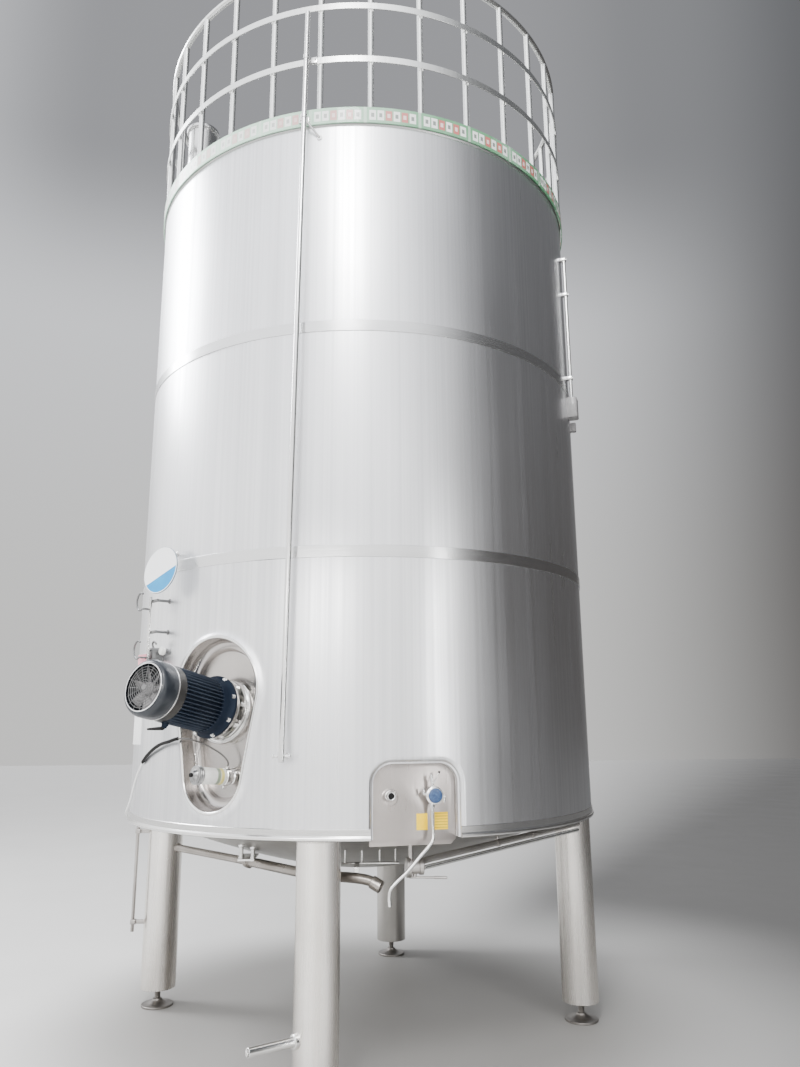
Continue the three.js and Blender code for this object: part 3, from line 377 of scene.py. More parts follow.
hall = bpy.data.worlds.new("hall_light")
bpy.context.scene.world = hall
hall.use_nodes = True
sky = NodeTree(hall.node_tree, "Generated")
turn_away = sky.node("ShaderNodeMath", {"operation": "ABSOLUTE"}, {0: sky.angle_round()})
rise = sky.along(2)
front_light = sky.mixed(sky.ranged(rise, 0.05, 0.62), (2.25, 2.24, 2.20), (2.60, 2.64, 2.74))
rear_light = sky.mixed(sky.ranged(rise, 0.05, 0.62), (0.80, 0.795, 0.78), (0.96, 0.98, 1.03))
above = sky.ranged(rise, CEILING_FROM, CEILING_TO)
ceiling = above * sky.ranged(turn_away, CEILING_LEFT, CEILING_RIGHT)
rear_light = sky.mixed(ceiling, rear_light, (0.36, 0.365, 0.385))
bright = sky.mixed(sky.ranged(turn_away, REAR_FROM, REAR_TO), front_light, rear_light)
shade = sky.mixed(sky.ranged(rise, 0.1, 0.8), (0.085, 0.08, 0.078), (0.16, 0.165, 0.175))
hall_colour = sky.mixed(right_side(sky), bright, shade)
background = hall.node_tree.nodes["Background"]
sky.feed(background.inputs["Color"], hall_colour)
background.inputs["Strength"].default_value = 1.0


def soft_light(name, place, target, width, height, power, colour):
    """A large soft lamp that looks at a point."""
    bpy.ops.object.light_add(type="AREA", location=AXIS_PLACE + Vector(place))
    lamp = bpy.context.object
    lamp.name = name
    lamp.data.shape = "RECTANGLE"
    lamp.data.size = width
    lamp.data.size_y = height
    lamp.data.energy = power
    lamp.data.color = colour
    lamp.rotation_euler = (Vector(target) - Vector(place)).to_track_quat("-Z", "Y").to_euler()


soft_light("left_window", (-7.0, 1.9, 7.8), (0.0, 0.0, 3.4), 2.2, 3.4, 900.0, (0.95, 0.97, 1.0))
soft_light("front_lamp", (-1.0, -7.0, 8.6), (0.0, 0.0, 3.4), 1.2, 2.6, 480.0, (1.0, 1.0, 0.99))
soft_light("floor_patch", (-1.3, -4.4, 2.7), (-1.3, -4.4, 0.0), 1.8, 1.8, 150.0, (1.0, 0.99, 0.97))
soft_light("door_gap", (3.95, -6.05, 2.1), (0.0, 0.0, 2.0), 0.16, 3.2, 75.0, (1.0, 1.0, 1.0))


# Insulated cladding
# Three courses of thin stainless sheet with a vertical brushed grain, rolled round the
# insulation. The sheets meet in one upright seam that shows at the front, and their reflections
# waver a little because the sheet is not perfectly flat. The lowest course is cut out for the
# agitator's recess and for the service panel.

SHELL_RADIUS = 1.350
INNER_RADIUS = 1.210
COURSES = [
    ("lower_wall", 1.110, 2.4337),
    ("middle_wall", 2.434, 3.6157),
    ("upper_wall", 3.616, 4.7997),
]
QUARTERS = ["front_right", "rear_right", "rear_left", "front_left"]
WALL_STEPS = 240
SEAM_AZIMUTH = 1.4
SMOOTH_ANGLE = math.radians(32)
EGG_HIGH = (1.790, 0.250)
EGG_LOW = (1.396, 0.180)
EGG_STEPS = 40
ALCOVE_FLOOR = 1.2403
PANEL_AZIMUTH = 10.15
PANEL_FRONT = 1.270
NICHE_EDGES = (-0.194, 0.2135)
NICHE_TOP = 1.443
NICHE_CORNER = 0.092
NICHE_FOLD = 0.0297
CUT_REACH = 1.5


def alone(piece):
    """Selects one piece and nothing else."""
    for other in bpy.context.selected_objects:
        other.select_set(False)
    bpy.context.view_layer.objects.active = piece
    piece.select_set(True)


def chain(name, points):
    """A line of vertices through points, drawn by extruding one corner."""
    bpy.ops.mesh.primitive_plane_add(size=0.01)
    piece = bpy.context.object
    piece.name = name
    piece.data.name = name
    bpy.ops.object.mode_set(mode="EDIT")
    bpy.ops.mesh.select_all(action="SELECT")
    bpy.ops.mesh.merge(type="CENTER")
    bpy.ops.transform.translate(value=points[0])
    for start, end in zip(points, points[1:]):
        step = Vector(end) - Vector(start)
        bpy.ops.mesh.extrude_region_move(TRANSFORM_OT_translate={"value": step})
    bpy.ops.mesh.select_all(action="SELECT")
    return piece


def closed_up(piece):
    """Merges doubled corners, turns the faces outwards and leaves edit mode."""
    bpy.ops.mesh.select_all(action="SELECT")
    bpy.ops.mesh.remove_doubles(threshold=0.00002)
    bpy.ops.mesh.normals_make_consistent(inside=False)
    bpy.ops.object.mode_set(mode="OBJECT")
    return piece


def smoothed(piece):
    alone(piece)
    bpy.ops.object.shade_smooth_by_angle(angle=SMOOTH_ANGLE)
    return piece


def turned(name, profile, steps, sweep=360.0, start=0.0):
    """Spins an outline of (radius, height) points round the upright axis."""
    piece = chain(name, [on_tank(start, radius, height) for radius, height in profile])
    bpy.ops.mesh.spin(steps=steps, angle=-math.radians(sweep), center=(0, 0, 0), axis=(0, 0, 1))
    if sweep < 360.0:
        bpy.ops.mesh.select_all(action="SELECT")
        bpy.ops.mesh.remove_doubles(threshold=0.00002)
        bpy.ops.mesh.select_all(action="SELECT")
        bpy.ops.mesh.fill_holes(sides=0)
    return smoothed(closed_up(piece))


def ring(name, inner, outer, bottom, top, steps, edge=0.0, **sector):
    """A square-sectioned ring with eased outer corners."""
    outline = [(inner, bottom), (outer - edge, bottom), (outer, bottom + edge)]
    outline += [(outer, top - edge), (outer - edge, top), (inner, top), (inner, bottom)]
    if edge == 0.0:
        outline = [(inner, bottom), (outer, bottom), (outer, top), (inner, top), (inner, bottom)]
    return turned(name, outline, steps, **sector)


def egg(grow):
    """Outline of the recess, across and up."""
    lean = math.asin((EGG_HIGH[1] - EGG_LOW[1]) / (EGG_HIGH[0] - EGG_LOW[0]))
    outline = []
    for (height, radius), low, high in (
        (EGG_HIGH, -lean, math.pi + lean),
        (EGG_LOW, math.pi + lean, 2 * math.pi - lean),
    ):
        for step in range(EGG_STEPS):
            turn = low + (high - low) * step / (EGG_STEPS - 1)
            reach = radius + grow
            outline.append((reach * math.cos(turn), height + reach * math.sin(turn)))
    return outline


def prism(name, outline, azimuth, inside, outside):
    """An outline drawn on a plane in front of the wall and pulled outwards."""
    piece = chain(name, [facing(azimuth, across, inside, height) for across, height in outline])
    bpy.ops.mesh.edge_face_add()
    out = facing(azimuth, 0.0, outside - inside, 0.0)
    bpy.ops.mesh.extrude_region_move(TRANSFORM_OT_translate={"value": out})
    return closed_up(piece)


def carved(piece, cutter, operation="DIFFERENCE"):
    """Cuts one piece with another, which is used up."""
    alone(piece)
    tool = piece.modifiers.new("cut", "BOOLEAN")
    tool.operation = operation
    tool.solver = "EXACT"
    tool.object = cutter
    bpy.ops.object.modifier_apply(modifier=tool.name)
    alone(cutter)
    bpy.ops.object.delete()
    return smoothed(piece)


def niche_outline(grow, bottom):
    """Outline of the service panel's niche: two upright sides with round upper corners."""
    left, right = NICHE_EDGES[0] - grow, NICHE_EDGES[1] + grow
    top = NICHE_TOP + grow
    corner = NICHE_CORNER + grow
    outline = [(left, bottom), (right, bottom)]
    for middle, low in ((right - corner, 0.0), (left + corner, math.pi / 2)):
        for step in range(13):
            turn = low + step * math.pi / 24
            outline.append((middle + corner * math.cos(turn), top - corner + corner * math.sin(turn)))
    return outline


def steel(
    name,
    tone,
    stained,
    roughness,
    stretch=(1.0, 1.0, 1.0),
    grain=40.0,
    clouds=1.4,
    depth=0.0003,
    wear=0.5,
):
    """Brushed or drawn steel: grain along the stretched axis, and clouds of handling and stain."""
    finish = Finish(name, metallic=1.0)
    drawn = finish.stretched(stretch)
    fine = finish.noise(drawn, grain, 5.0)
    streaks = finish.noise(drawn, grain / 7, 4.0)
    stain = finish.noise(finish.place, clouds, 6.0)
    share = (stain - 0.5) * 2.0 * wear + (streaks - 0.5) * 1.8 * wear + 0.35
    finish.surface(
        finish.mixed(share, tone, stained),
        (fine - 0.5) * 0.16 + (stain - 0.5) * 0.14 + roughness,
    )
    finish.bumped(fine, depth)
    return finish


cladding = Finish("brushed_cladding", metallic=1.0)
brush_lines = cladding.noise(cladding.stretched((1.0, 1.0, 0.003)), 62.0, 3.0)
broad_streaks = cladding.noise(cladding.stretched((1.0, 1.0, 0.025)), 12.0, 3.0)
handling = cladding.noise(cladding.place, 1.6, 6.0)
cladding.surface(
    cladding.mixed(
        (brush_lines - 0.5) * 1.5 + (broad_streaks - 0.5) * 1.1 + (handling - 0.5) * 0.7 + 0.40,
        (0.875, 0.88, 0.895),
        (0.645, 0.65, 0.67),
    ),
    (brush_lines - 0.5) * 0.16 + (broad_streaks - 0.5) * 0.16 + (handling - 0.5) * 0.10 + 0.33,
)
cladding.bumped(brush_lines, 0.00012)
sheet_waves = cladding.noise(cladding.stretched((1.0, 1.0, 0.45)), 1.7, 1.0)
cladding.bumped(sheet_waves, 0.010)
off_seam = cladding.node(
    "ShaderNodeMath",
    {"operation": "PINGPONG"},
    {0: cladding.angle_round() - math.radians(SEAM_AZIMUTH), 1: math.pi / 2},
)
on_seam = off_seam < 0.0013
cladding.bumped(on_seam, 0.0008)

for course, bottom, top in COURSES:
    wall = ring(course + "_sheet", INNER_RADIUS, SHELL_RADIUS, bottom, top, WALL_STEPS)
    if course == "lower_wall":
        wall = carved(wall, prism("pocket", egg(0.001), ALCOVE_AZIMUTH, ALCOVE_FLOOR, CUT_REACH))
        niche = niche_outline(NICHE_FOLD, bottom - 0.05)
        wall = carved(wall, prism("niche", niche, PANEL_AZIMUTH, PANEL_FRONT - 0.0086, CUT_REACH))
    fitted(wall, cladding, "satin_steel", *[f"{course}_{quarter}" for quarter in QUARTERS])


# Bands over the joints
# Flat strips of bright stainless that cover the two level joints between the courses. Each one
# is drawn tight and lapped a little left of the front, and its edges are eased.

BAND_INNER = SHELL_RADIUS + 0.0003
BAND_OUTER = SHELL_RADIUS + 0.0043
BAND_LAP_AZIMUTH = -12.3

band_steel = steel(
    "band_steel",
    (0.78, 0.785, 0.79),
    (0.60, 0.60, 0.60),
    0.24,
    (0.05, 0.05, 1.0),
    grain=160.0,
    wear=0.4,
)
for name, middle in (("lower_band", 2.434), ("upper_band", 3.616)):
    low, high = middle - 0.030, middle + 0.030
    band = ring(name + "_strip", BAND_INNER, BAND_OUTER, low, high, WALL_STEPS, edge=0.0018)
    lap = ring(
        name + "_lap",
        BAND_OUTER - 0.0002,
        BAND_OUTER + 0.0012,
        low + 0.002,
        high - 0.002,
        4,
        edge=0.0005,
        sweep=1.6,
        start=BAND_LAP_AZIMUTH,
    )
    fitted(band, band_steel, "satin_steel", name)
    fitted(lap, band_steel, "satin_steel")


# Rim band
# The lowest edge of the cladding is closed by a folded stainless band with a rolled bead, which
# stops at both sides of the service panel.

RIM_Z = 1.110
RIM_START = 19.4
RIM_SWEEP = 342.0

rim_steel = steel(
    "rim_steel", (0.84, 0.84, 0.83), (0.70, 0.69, 0.67), 0.22, (0.06, 0.06, 1.0), grain=120.0, wear=0.5
)
inner = SHELL_RADIUS + 0.0003
rim_outline = [(inner, RIM_Z), (inner + 0.008, RIM_Z)]
for step in range(7):
    turn = -math.pi / 2 + step * math.pi / 6
    across = inner + 0.006 + 0.0062 * math.cos(turn)
    rim_outline.append((across, RIM_Z + 0.009 + 0.009 * math.sin(turn)))
rim_outline += [(inner + 0.004, RIM_Z + 0.021), (inner + 0.004, RIM_Z + 0.048)]
rim_outline += [(inner + 0.002, RIM_Z + 0.050), (inner, RIM_Z + 0.050), (inner, RIM_Z)]
rim = turned("rim_bead", rim_outline, 228, sweep=RIM_SWEEP, start=RIM_START)
fitted(rim, rim_steel, "bright_steel", "rim_band")


# Domed bottom
# A dished stainless end that is welded inside the wall. From below it is dull and stained
# where cleaning water has dried, with a ring of weld next to the rim.

DISH_DEPTH = 0.312
DISH_POWER = 1.6
DISH_RIM = 1.2065
DISH_THICKNESS = 0.080


def dish_z(radius):
    return RIM_Z - DISH_DEPTH * (1 - (radius / DISH_RIM) ** DISH_POWER)


dish_steel = steel(
    "dish_steel", (0.50, 0.49, 0.47), (0.30, 0.29, 0.27), 0.42, grain=22.0, clouds=2.6
)
dish_outline = [(DISH_RIM * step / 24, dish_z(DISH_RIM * step / 24)) for step in range(25)]
dish_outline += [(DISH_RIM, RIM_Z + DISH_THICKNESS)]
for step in range(12, -1, -1):
    radius = (DISH_RIM - DISH_THICKNESS) * step / 12
    dish_outline.append((radius, dish_z(radius) + DISH_THICKNESS))
dish = turned("dished_end", dish_outline, 144)
fitted(dish, dish_steel, "satin_steel", "bottom_dish")
rim_weld = turned(
    "rim_weld",
    [(1.199, 1.1042), (1.204, 1.1010), (1.2115, 1.1096), (1.204, 1.1110), (1.199, 1.1042)],
    144,
)
fitted(rim_weld, dish_steel, "satin_steel")


# Roof
# A shallow stainless cone with a flat walking edge, whose turned-down lip shows as a thin dark
# line under the toe board.

ROOF_EDGE_Z = 4.828
WALL_TOP_Z = 4.800
ROOF_RADIUS = 1.358
ROOF_FLAT = 1.290
ROOF_SLOPE = 0.170 / ROOF_FLAT


def roof_z(radius):
    return ROOF_EDGE_Z + max(0.0, ROOF_FLAT - radius) * ROOF_SLOPE


roof_steel = steel(
    "roof_steel", (0.66, 0.66, 0.66), (0.46, 0.455, 0.44), 0.38, grain=30.0, clouds=3.0
)
roof = turned(
    "roof_cone",
    [
        (0.0, roof_z(0.0) - 0.060),
        (INNER_RADIUS, WALL_TOP_Z),
        (ROOF_RADIUS - 0.006, WALL_TOP_Z),
        (ROOF_RADIUS - 0.005, WALL_TOP_Z + 0.001),
        (ROOF_RADIUS, ROOF_EDGE_Z - 0.012),
        (ROOF_RADIUS, ROOF_EDGE_Z - 0.005),
        (ROOF_RADIUS - 0.005, ROOF_EDGE_Z),
        (ROOF_FLAT, ROOF_EDGE_Z),
        (0.0, roof_z(0.0)),
    ],
    180,
)
fitted(roof, roof_steel, "satin_steel", "roof")


# Manway and vent on the roof
# A round access hatch in the middle, with a dished lid and a ring of hexagon bolts, and a bright
# capped vent neck near the railing at the front left.

MANWAY_BOLTS = 8
NECK_RADIUS = 0.250
NECK_TOP = 5.117
LID_RADIUS = 0.290
VENT_PLACE = (-1.040, -0.592, 0.0)
VENT_RADIUS = 0.088
VENT_FLANGE = 0.097


def block(name, low, high, edge=0.0):
    """A box with eased edges between two corners."""
    size = Vector(high) - Vector(low)
    bpy.ops.mesh.primitive_cube_add(size=1.0, location=(Vector(high) + Vector(low)) / 2, scale=size)
    piece = bpy.context.object
    piece.name = name
    piece.data.name = name
    alone(piece)
    bpy.ops.object.transform_apply(location=True, rotation=True, scale=True)
    if edge:
        eased(piece, edge)
    return piece


def eased(piece, width, segments=2):
    """Rounds the sharp edges of a piece."""
    alone(piece)
    tool = piece.modifiers.new("ease", "BEVEL")
    tool.width = width
    tool.segments = segments
    tool.limit_method = "ANGLE"
    tool.angle_limit = math.radians(40)
    bpy.ops.object.modifier_apply(modifier=tool.name)
    return smoothed(piece)


def put(piece, matrix):
    """Moves a finished piece to its place and leaves its object at the origin."""
    piece.matrix_world = matrix
    alone(piece)
    bpy.ops.object.transform_apply(location=True, rotation=True, scale=True)
    return piece


def joined(name, pieces):
    """Joins pieces into one object."""
    alone(pieces[0])
    for other in pieces[1:]:
        other.select_set(True)
    bpy.ops.object.join()
    whole = bpy.context.object
    whole.name = name
    whole.data.name = name
    return whole


def repeated(name, piece, places):
    """Copies a piece, each copy with a mesh of its own, to several places, and joins them."""
    copies = []
    for place in places:
        alone(piece)
        bpy.ops.object.duplicate()
        copies.append(put(bpy.context.object, place))
    alone(piece)
    bpy.ops.object.delete()
    return joined(name, copies)


def aim(start, direction):
    """A place whose Z runs from a start point along a direction."""
    turn = Vector(direction).to_track_quat("Z", "Y").to_matrix().to_4x4()
    return Matrix.Translation(start) @ turn


def drum(name, radius, bottom, top, steps=24, edge=0.0015):
    """A short round bar with eased rims, upright on the axis."""
    return turned(
        name,
        [
            (0.0, bottom),
            (radius - edge, bottom),
            (radius, bottom + edge),
            (radius, top - edge),
            (radius - edge, top),
            (0.0, top),
        ],
        steps,
    )


def rod(name, start, end, radius, steps=20, edge=0.001):
    """A round bar from one point to another."""
    reach = Vector(end) - Vector(start)
    return put(drum(name, radius, 0.0, reach.length, steps, edge), aim(start, reach))


def at_azimuth(azimuth):
    return Matrix.Rotation(math.radians(azimuth), 4, "Z")


def around(count, radius, height=0.0, first=0.0):
    """Places on a circle about the upright axis."""
    azimuths = [first + 360.0 * i / count for i in range(count)]
    return [
        Matrix.Translation(on_tank(azimuth, radius, height)) @ at_azimuth(azimuth)
        for azimuth in azimuths
    ]


def hex_bolt(name, across, height):
    """A hexagon head on its washer, with its top eased, standing on z = 0."""
    washer = drum("washer", across * 0.62, 0.0, height * 0.2, 20, height * 0.04)
    side = across * 0.56
    outline = [(0.0, height * 0.2), (side, height * 0.2), (side, height * 0.9)]
    outline += [(across * 0.48, height), (0.0, height)]
    return joined(name, [washer, turned("head", outline, 6)])


neck_foot = roof_z(NECK_RADIUS) + 0.0003
neck_outline = [(0.0, neck_foot), (NECK_RADIUS + 0.012, neck_foot), (NECK_RADIUS, neck_foot + 0.014)]
neck_outline += [(NECK_RADIUS, NECK_TOP - 0.012), (LID_RADIUS, NECK_TOP - 0.012)]
neck_outline += [(LID_RADIUS, NECK_TOP), (0.0, NECK_TOP)]
fitted(turned("manway_ring", neck_outline, 72), roof_steel, "satin_steel", "manway_neck")
lid_outline = [(0.0, NECK_TOP + 0.0003), (LID_RADIUS, NECK_TOP + 0.0003), (LID_RADIUS, 5.127)]
lid_outline += [(0.284, 5.131), (0.248, 5.133), (0.230, 5.146), (0.180, 5.159), (0.120, 5.168)]
lid_outline += [(0.060, 5.173), (0.0, 5.1748)]
lid = turned("lid", lid_outline, 72)
lid_bolts = repeated("lid_bolts", hex_bolt("bolt", 0.026, 0.016), around(MANWAY_BOLTS, 0.270, 5.131))
fitted(joined("manway_cover", [lid, lid_bolts]), roof_steel, "satin_steel", "manway_lid")
vent = turned(
    "vent_cap",
    [
        (0.0, ROOF_EDGE_Z - 0.010),
        (VENT_FLANGE, ROOF_EDGE_Z - 0.010),
        (VENT_FLANGE, ROOF_EDGE_Z + 0.036),
        (VENT_RADIUS, ROOF_EDGE_Z + 0.043),
        (VENT_RADIUS, 5.309),
        (0.100, 5.311),
        (0.102, 5.314),
        (0.102, 5.327),
        (0.099, 5.333),
        (0.082, 5.351),
        (0.042, 5.362),
        (0.0, 5.3658),
    ],
    48,
)
vent_steel = steel(
    "vent_steel", (0.80, 0.80, 0.80), (0.64, 0.635, 0.62), 0.26, (1.0, 1.0, 0.05), grain=60.0
)
vent_bed = turned(
    "vent_bed",
    [
        (0.0, ROOF_EDGE_Z - 0.030),
        (ROOF_FLAT + 0.020, ROOF_EDGE_Z - 0.030),
        (ROOF_FLAT + 0.020, ROOF_EDGE_Z + 0.0003),
        (ROOF_FLAT, ROOF_EDGE_Z + 0.0003),
        (0.0, roof_z(0.0) + 0.0003),
    ],
    180,
)
vent = carved(put(vent, Matrix.Translation(VENT_PLACE)), vent_bed)
fitted(vent, vent_steel, "bright_steel", "vent_neck")


# Railing on the roof edge
# Thirty round posts welded to the roof's edge, two flat hoops outside them and a round top
# rail, all in stainless tube and bar that has gone pale and milky.

POST_COUNT = 30
POST_AZIMUTH = 1.3
POST_RADIUS = 0.0169
POST_CIRCLE = 1.345
TOP_RAIL_Z = 5.884
TOP_RAIL_RADIUS = 0.0178
HOOP_INNER = 1.361
HOOP_OUTER = 1.367
HOOP_HEIGHT = 0.040
HOOP_TOPS = (5.240, 5.593)
PANELS = [f"railing_panel_{number}" for number in range(1, 7)]

rail_steel = steel(
    "rail_steel", (0.86, 0.87, 0.86), (0.66, 0.66, 0.64), 0.30, (1.0, 1.0, 0.08), grain=70.0, clouds=5.0
)
post = turned(
    "post",
    [
        (0.0, ROOF_EDGE_Z + 0.0003),
        (0.0212, ROOF_EDGE_Z + 0.0003),
        (0.0205, ROOF_EDGE_Z + 0.004),
        (POST_RADIUS + 0.002, ROOF_EDGE_Z + 0.007),
        (POST_RADIUS, ROOF_EDGE_Z + 0.012),
        (POST_RADIUS, TOP_RAIL_Z - 0.005),
        (0.0, TOP_RAIL_Z - 0.004),
    ],
    16,
)
posts = repeated("railing_posts", post, around(POST_COUNT, POST_CIRCLE, 0.0, POST_AZIMUTH))
fitted(posts, rail_steel, "pale_paint", *PANELS)
hoops = [
    ring("hoop", HOOP_INNER, HOOP_OUTER, top - HOOP_HEIGHT, top, WALL_STEPS, edge=0.0012)
    for top in HOOP_TOPS
]
fitted(joined("railing_hoops", hoops), rail_steel, "pale_paint")
rail_outline = [
    (
        POST_CIRCLE + TOP_RAIL_RADIUS * math.cos(step * math.pi / 7),
        TOP_RAIL_Z + TOP_RAIL_RADIUS * math.sin(step * math.pi / 7),
    )
    for step in range(15)
]
fitted(turned("railing_top", rail_outline, WALL_STEPS), rail_steel, "pale_paint")
hoop_weld = drum("hoop_weld", 0.0045, -0.006, 0.020, 8, 0.002)
weld_places = [
    Matrix.Translation(on_tank(POST_AZIMUTH + 360 / POST_COUNT * i + side, 1.3605, top - 0.047))
    for i in range(POST_COUNT)
    for side in (-0.42, 0.42)
    for top in HOOP_TOPS
]
fitted(repeated("hoop_welds", hoop_weld, weld_places), rail_steel, "pale_paint")


# Toe board
# A kick plate of thin sheet round the foot of the railing. A strip of pale green film with groups of
# small plain squares is stuck along it, and has faded and lifted in places. Towards the front left the
# film, its red squares and their marks are painted paler, a painted highlight of the bright light on
# that side.

TOE_BOTTOM = 4.809
TOE_TOP = 4.907
GROUP_LENGTH = 0.3035
GROUP_START = 30 * GROUP_LENGTH - 0.018
SQUARES = 6
SQUARE_PITCH = 0.0445
SQUARE_WIDTH = 0.037
SQUARE_BOTTOM, SQUARE_TOP = 4.826, 4.888
MARK_BOTTOM, MARK_TOP = 4.844, 4.870
HIGHLIGHT_FROM = math.radians(-42)
HIGHLIGHT_TO = math.radians(16)

toe_board = ring(
    "toe_board_strip", HOOP_INNER, HOOP_OUTER, TOE_BOTTOM, TOE_TOP, WALL_STEPS, edge=0.0012
)
film = Finish("toe_board_film", coat=0.25)
run = film.angle_round() * HOOP_OUTER + GROUP_START
in_group = film.node("ShaderNodeMath", {"operation": "MODULO"}, {0: run, 1: GROUP_LENGTH})
in_square = film.node("ShaderNodeMath", {"operation": "MODULO"}, {0: in_group, 1: SQUARE_PITCH})
height = film.along(2)
square = (
    film.between(in_square, 0.004, 0.004 + SQUARE_WIDTH)
    * film.between(height, SQUARE_BOTTOM, SQUARE_TOP)
    * film.between(in_group, 0.0, SQUARES * SQUARE_PITCH)
)
red_place = film.between(in_group, 2 * SQUARE_PITCH, 3 * SQUARE_PITCH) + film.between(
    in_group, 4 * SQUARE_PITCH, 5 * SQUARE_PITCH
)
mark = film.between(in_square, 0.014, 0.031) * film.between(height, MARK_BOTTOM, MARK_TOP) * square
fading = film.noise(film.place, 3.0, 5.0)
# Painted highlight: the film is painted paler towards the front left, and the red squares and their
# marks fade there.
lit_side_highlight = film.ranged(film.angle_round(), HIGHLIGHT_FROM, HIGHLIGHT_TO, 1.0, 0.0)
fade_and_highlight = (fading - 0.5) * 1.3 + lit_side_highlight * 0.9 + 0.1
green = film.mixed(fade_and_highlight, (0.13, 0.34, 0.18), (0.60, 0.84, 0.68))
white = film.mixed(fading, (0.84, 0.88, 0.83), (0.95, 0.96, 0.94))
squares = film.mixed(square, green, white)
red = film.mixed(fading, (0.46, 0.06, 0.05), (0.60, 0.19, 0.17))
red_squares = film.mixed(square * red_place * (lit_side_highlight * -0.55 + 0.95), squares, red)
mark_colour = film.mixed(red_place, (0.05, 0.08, 0.065), (0.88, 0.80, 0.77))
marks = film.mixed(mark * (lit_side_highlight * -0.5 + 0.8), red_squares, mark_colour)
gap = film.between(in_group, SQUARES * SQUARE_PITCH + 0.010, GROUP_LENGTH - 0.010) * 0.4
film.surface(film.mixed(gap, marks, (0.80, 0.88, 0.80)), fading * 0.25 + 0.28)
film.bumped(film.noise(film.place, 40.0, 3.0), 0.0004)
fitted(toe_board, film, "pale_paint")


# Legs
# Four round stainless legs that are welded under the rim, with a vertical brushed grain that is stained
# brown in patches. A weld bead closes the top, and a plate closes the foot end.

LEG_AZIMUTH = -9.5
LEG_CIRCLE = 1.237
LEG_RADIUS = 0.102
LEG_BOTTOM = 0.100
LEG_NAMES = ["front", "right", "rear", "left"]

leg_steel = steel(
    "leg_steel",
    (0.90, 0.87, 0.835),
    (0.42, 0.385, 0.34),
    0.27,
    (1.0, 1.0, 0.02),
    grain=90.0,
    clouds=1.8,
    wear=0.7,
)
# Painted shade: the rear leg has a darker copy of the leg steel, for the shadow it stands in under the
# tank.
rear_leg_shaded_steel = steel(
    "rear_leg_painted_shade_steel",
    (0.50, 0.485, 0.46),
    (0.30, 0.285, 0.265),
    0.33,
    (1.0, 1.0, 0.03),
    grain=70.0,
    clouds=2.2,
)
leg_outline = [
    (0.0, LEG_BOTTOM + 0.004),
    (0.095, LEG_BOTTOM + 0.004),
    (0.0955, LEG_BOTTOM),
    (0.1005, LEG_BOTTOM),
    (LEG_RADIUS, LEG_BOTTOM + 0.002),
    (LEG_RADIUS, RIM_Z - 0.016),
    (LEG_RADIUS + 0.002, RIM_Z - 0.011),
    (LEG_RADIUS + 0.007, RIM_Z - 0.004),
    (LEG_RADIUS + 0.010, RIM_Z - 0.0003),
    (0.0, RIM_Z - 0.0003),
]
for index, name in enumerate(LEG_NAMES):
    leg = turned(f"leg_{name}_tube", leg_outline, 64)
    put(leg, Matrix.Translation(on_tank(LEG_AZIMUTH + 90 * index, LEG_CIRCLE, 0.0)))
    fitted(leg, rear_leg_shaded_steel if name == "rear" else leg_steel, "satin_steel", f"leg_{name}")


# Screwed feet
# Each leg stands on a round steel plate with a ball socket, a threaded stem and a hexagon nut that
# locks it. Their steel is given a dark tone.

FOOT_RADIUS = 0.0925
STEM_RADIUS = 0.017
THREAD_PITCH = 0.0042

foot_steel = steel(
    "foot_steel", (0.34, 0.325, 0.31), (0.14, 0.125, 0.11), 0.45, grain=120.0, clouds=14.0
)
foot_outline = [
    (0.0, 0.0),
    (FOOT_RADIUS - 0.002, 0.0),
    (FOOT_RADIUS, 0.002),
    (FOOT_RADIUS, 0.010),
    (FOOT_RADIUS - 0.002, 0.012),
    (0.060, 0.014),
    (0.048, 0.020),
    (0.034, 0.027),
    (0.028, 0.034),
    (0.026, 0.040),
    (STEM_RADIUS, 0.042),
]
thread_start = 0.044
for turn in range(8):
    foot_outline.append((STEM_RADIUS - 0.0014, thread_start + turn * THREAD_PITCH))
    foot_outline.append((STEM_RADIUS, thread_start + (turn + 0.5) * THREAD_PITCH))
foot_outline += [(STEM_RADIUS, 0.0995), (0.0, 0.0995)]
for index, name in enumerate(LEG_NAMES):
    place = Matrix.Translation(on_tank(LEG_AZIMUTH + 90 * index, LEG_CIRCLE, 0.0))
    plate = turned("plate", foot_outline, 48)
    nut = turned(
        "nut",
        [
            (STEM_RADIUS, 0.080),
            (0.027, 0.080),
            (0.030, 0.082),
            (0.030, 0.097),
            (0.027, 0.0990),
            (STEM_RADIUS, 0.0990),
            (STEM_RADIUS, 0.080),
        ],
        6,
    )
    foot = put(joined(f"foot_{name}_screw", [plate, nut]), place)
    fitted(foot, foot_steel, "foot_steel", f"foot_{name}")


# Stub tube on the front leg
# A short open tube that is welded to the left side of the front leg with a heavy collar.

STUB_START_Z = 0.286
STUB_DIRECTION = (-0.83, -0.56, 0.02)

bright_steel = steel(
    "bright_fittings", (0.82, 0.82, 0.81), (0.58, 0.57, 0.55), 0.20, grain=90.0, clouds=9.0
)
stub_outline = [
    (0.0, 0.098),
    (0.029, 0.098),
    (0.031, 0.100),
    (0.031, 0.115),
    (0.028, 0.118),
    (0.021, 0.119),
    (0.020, 0.122),
    (0.020, 0.329),
    (0.0192, 0.330),
    (0.0172, 0.330),
    (0.0168, 0.329),
    (0.0168, 0.290),
    (0.0, 0.290),
]
stub = turned("stub_tube", stub_outline, 40)
put(stub, aim(on_tank(LEG_AZIMUTH, LEG_CIRCLE, STUB_START_Z), STUB_DIRECTION))
fitted(stub, bright_steel, "bright_steel", "leg_stub_tube")


# Recess of the agitator
# An egg-shaped pan pressed from polished stainless, with a wide rounded corner round its floor,
# a shallow step in the floor, and a rounded lip that stands proud of the cladding.

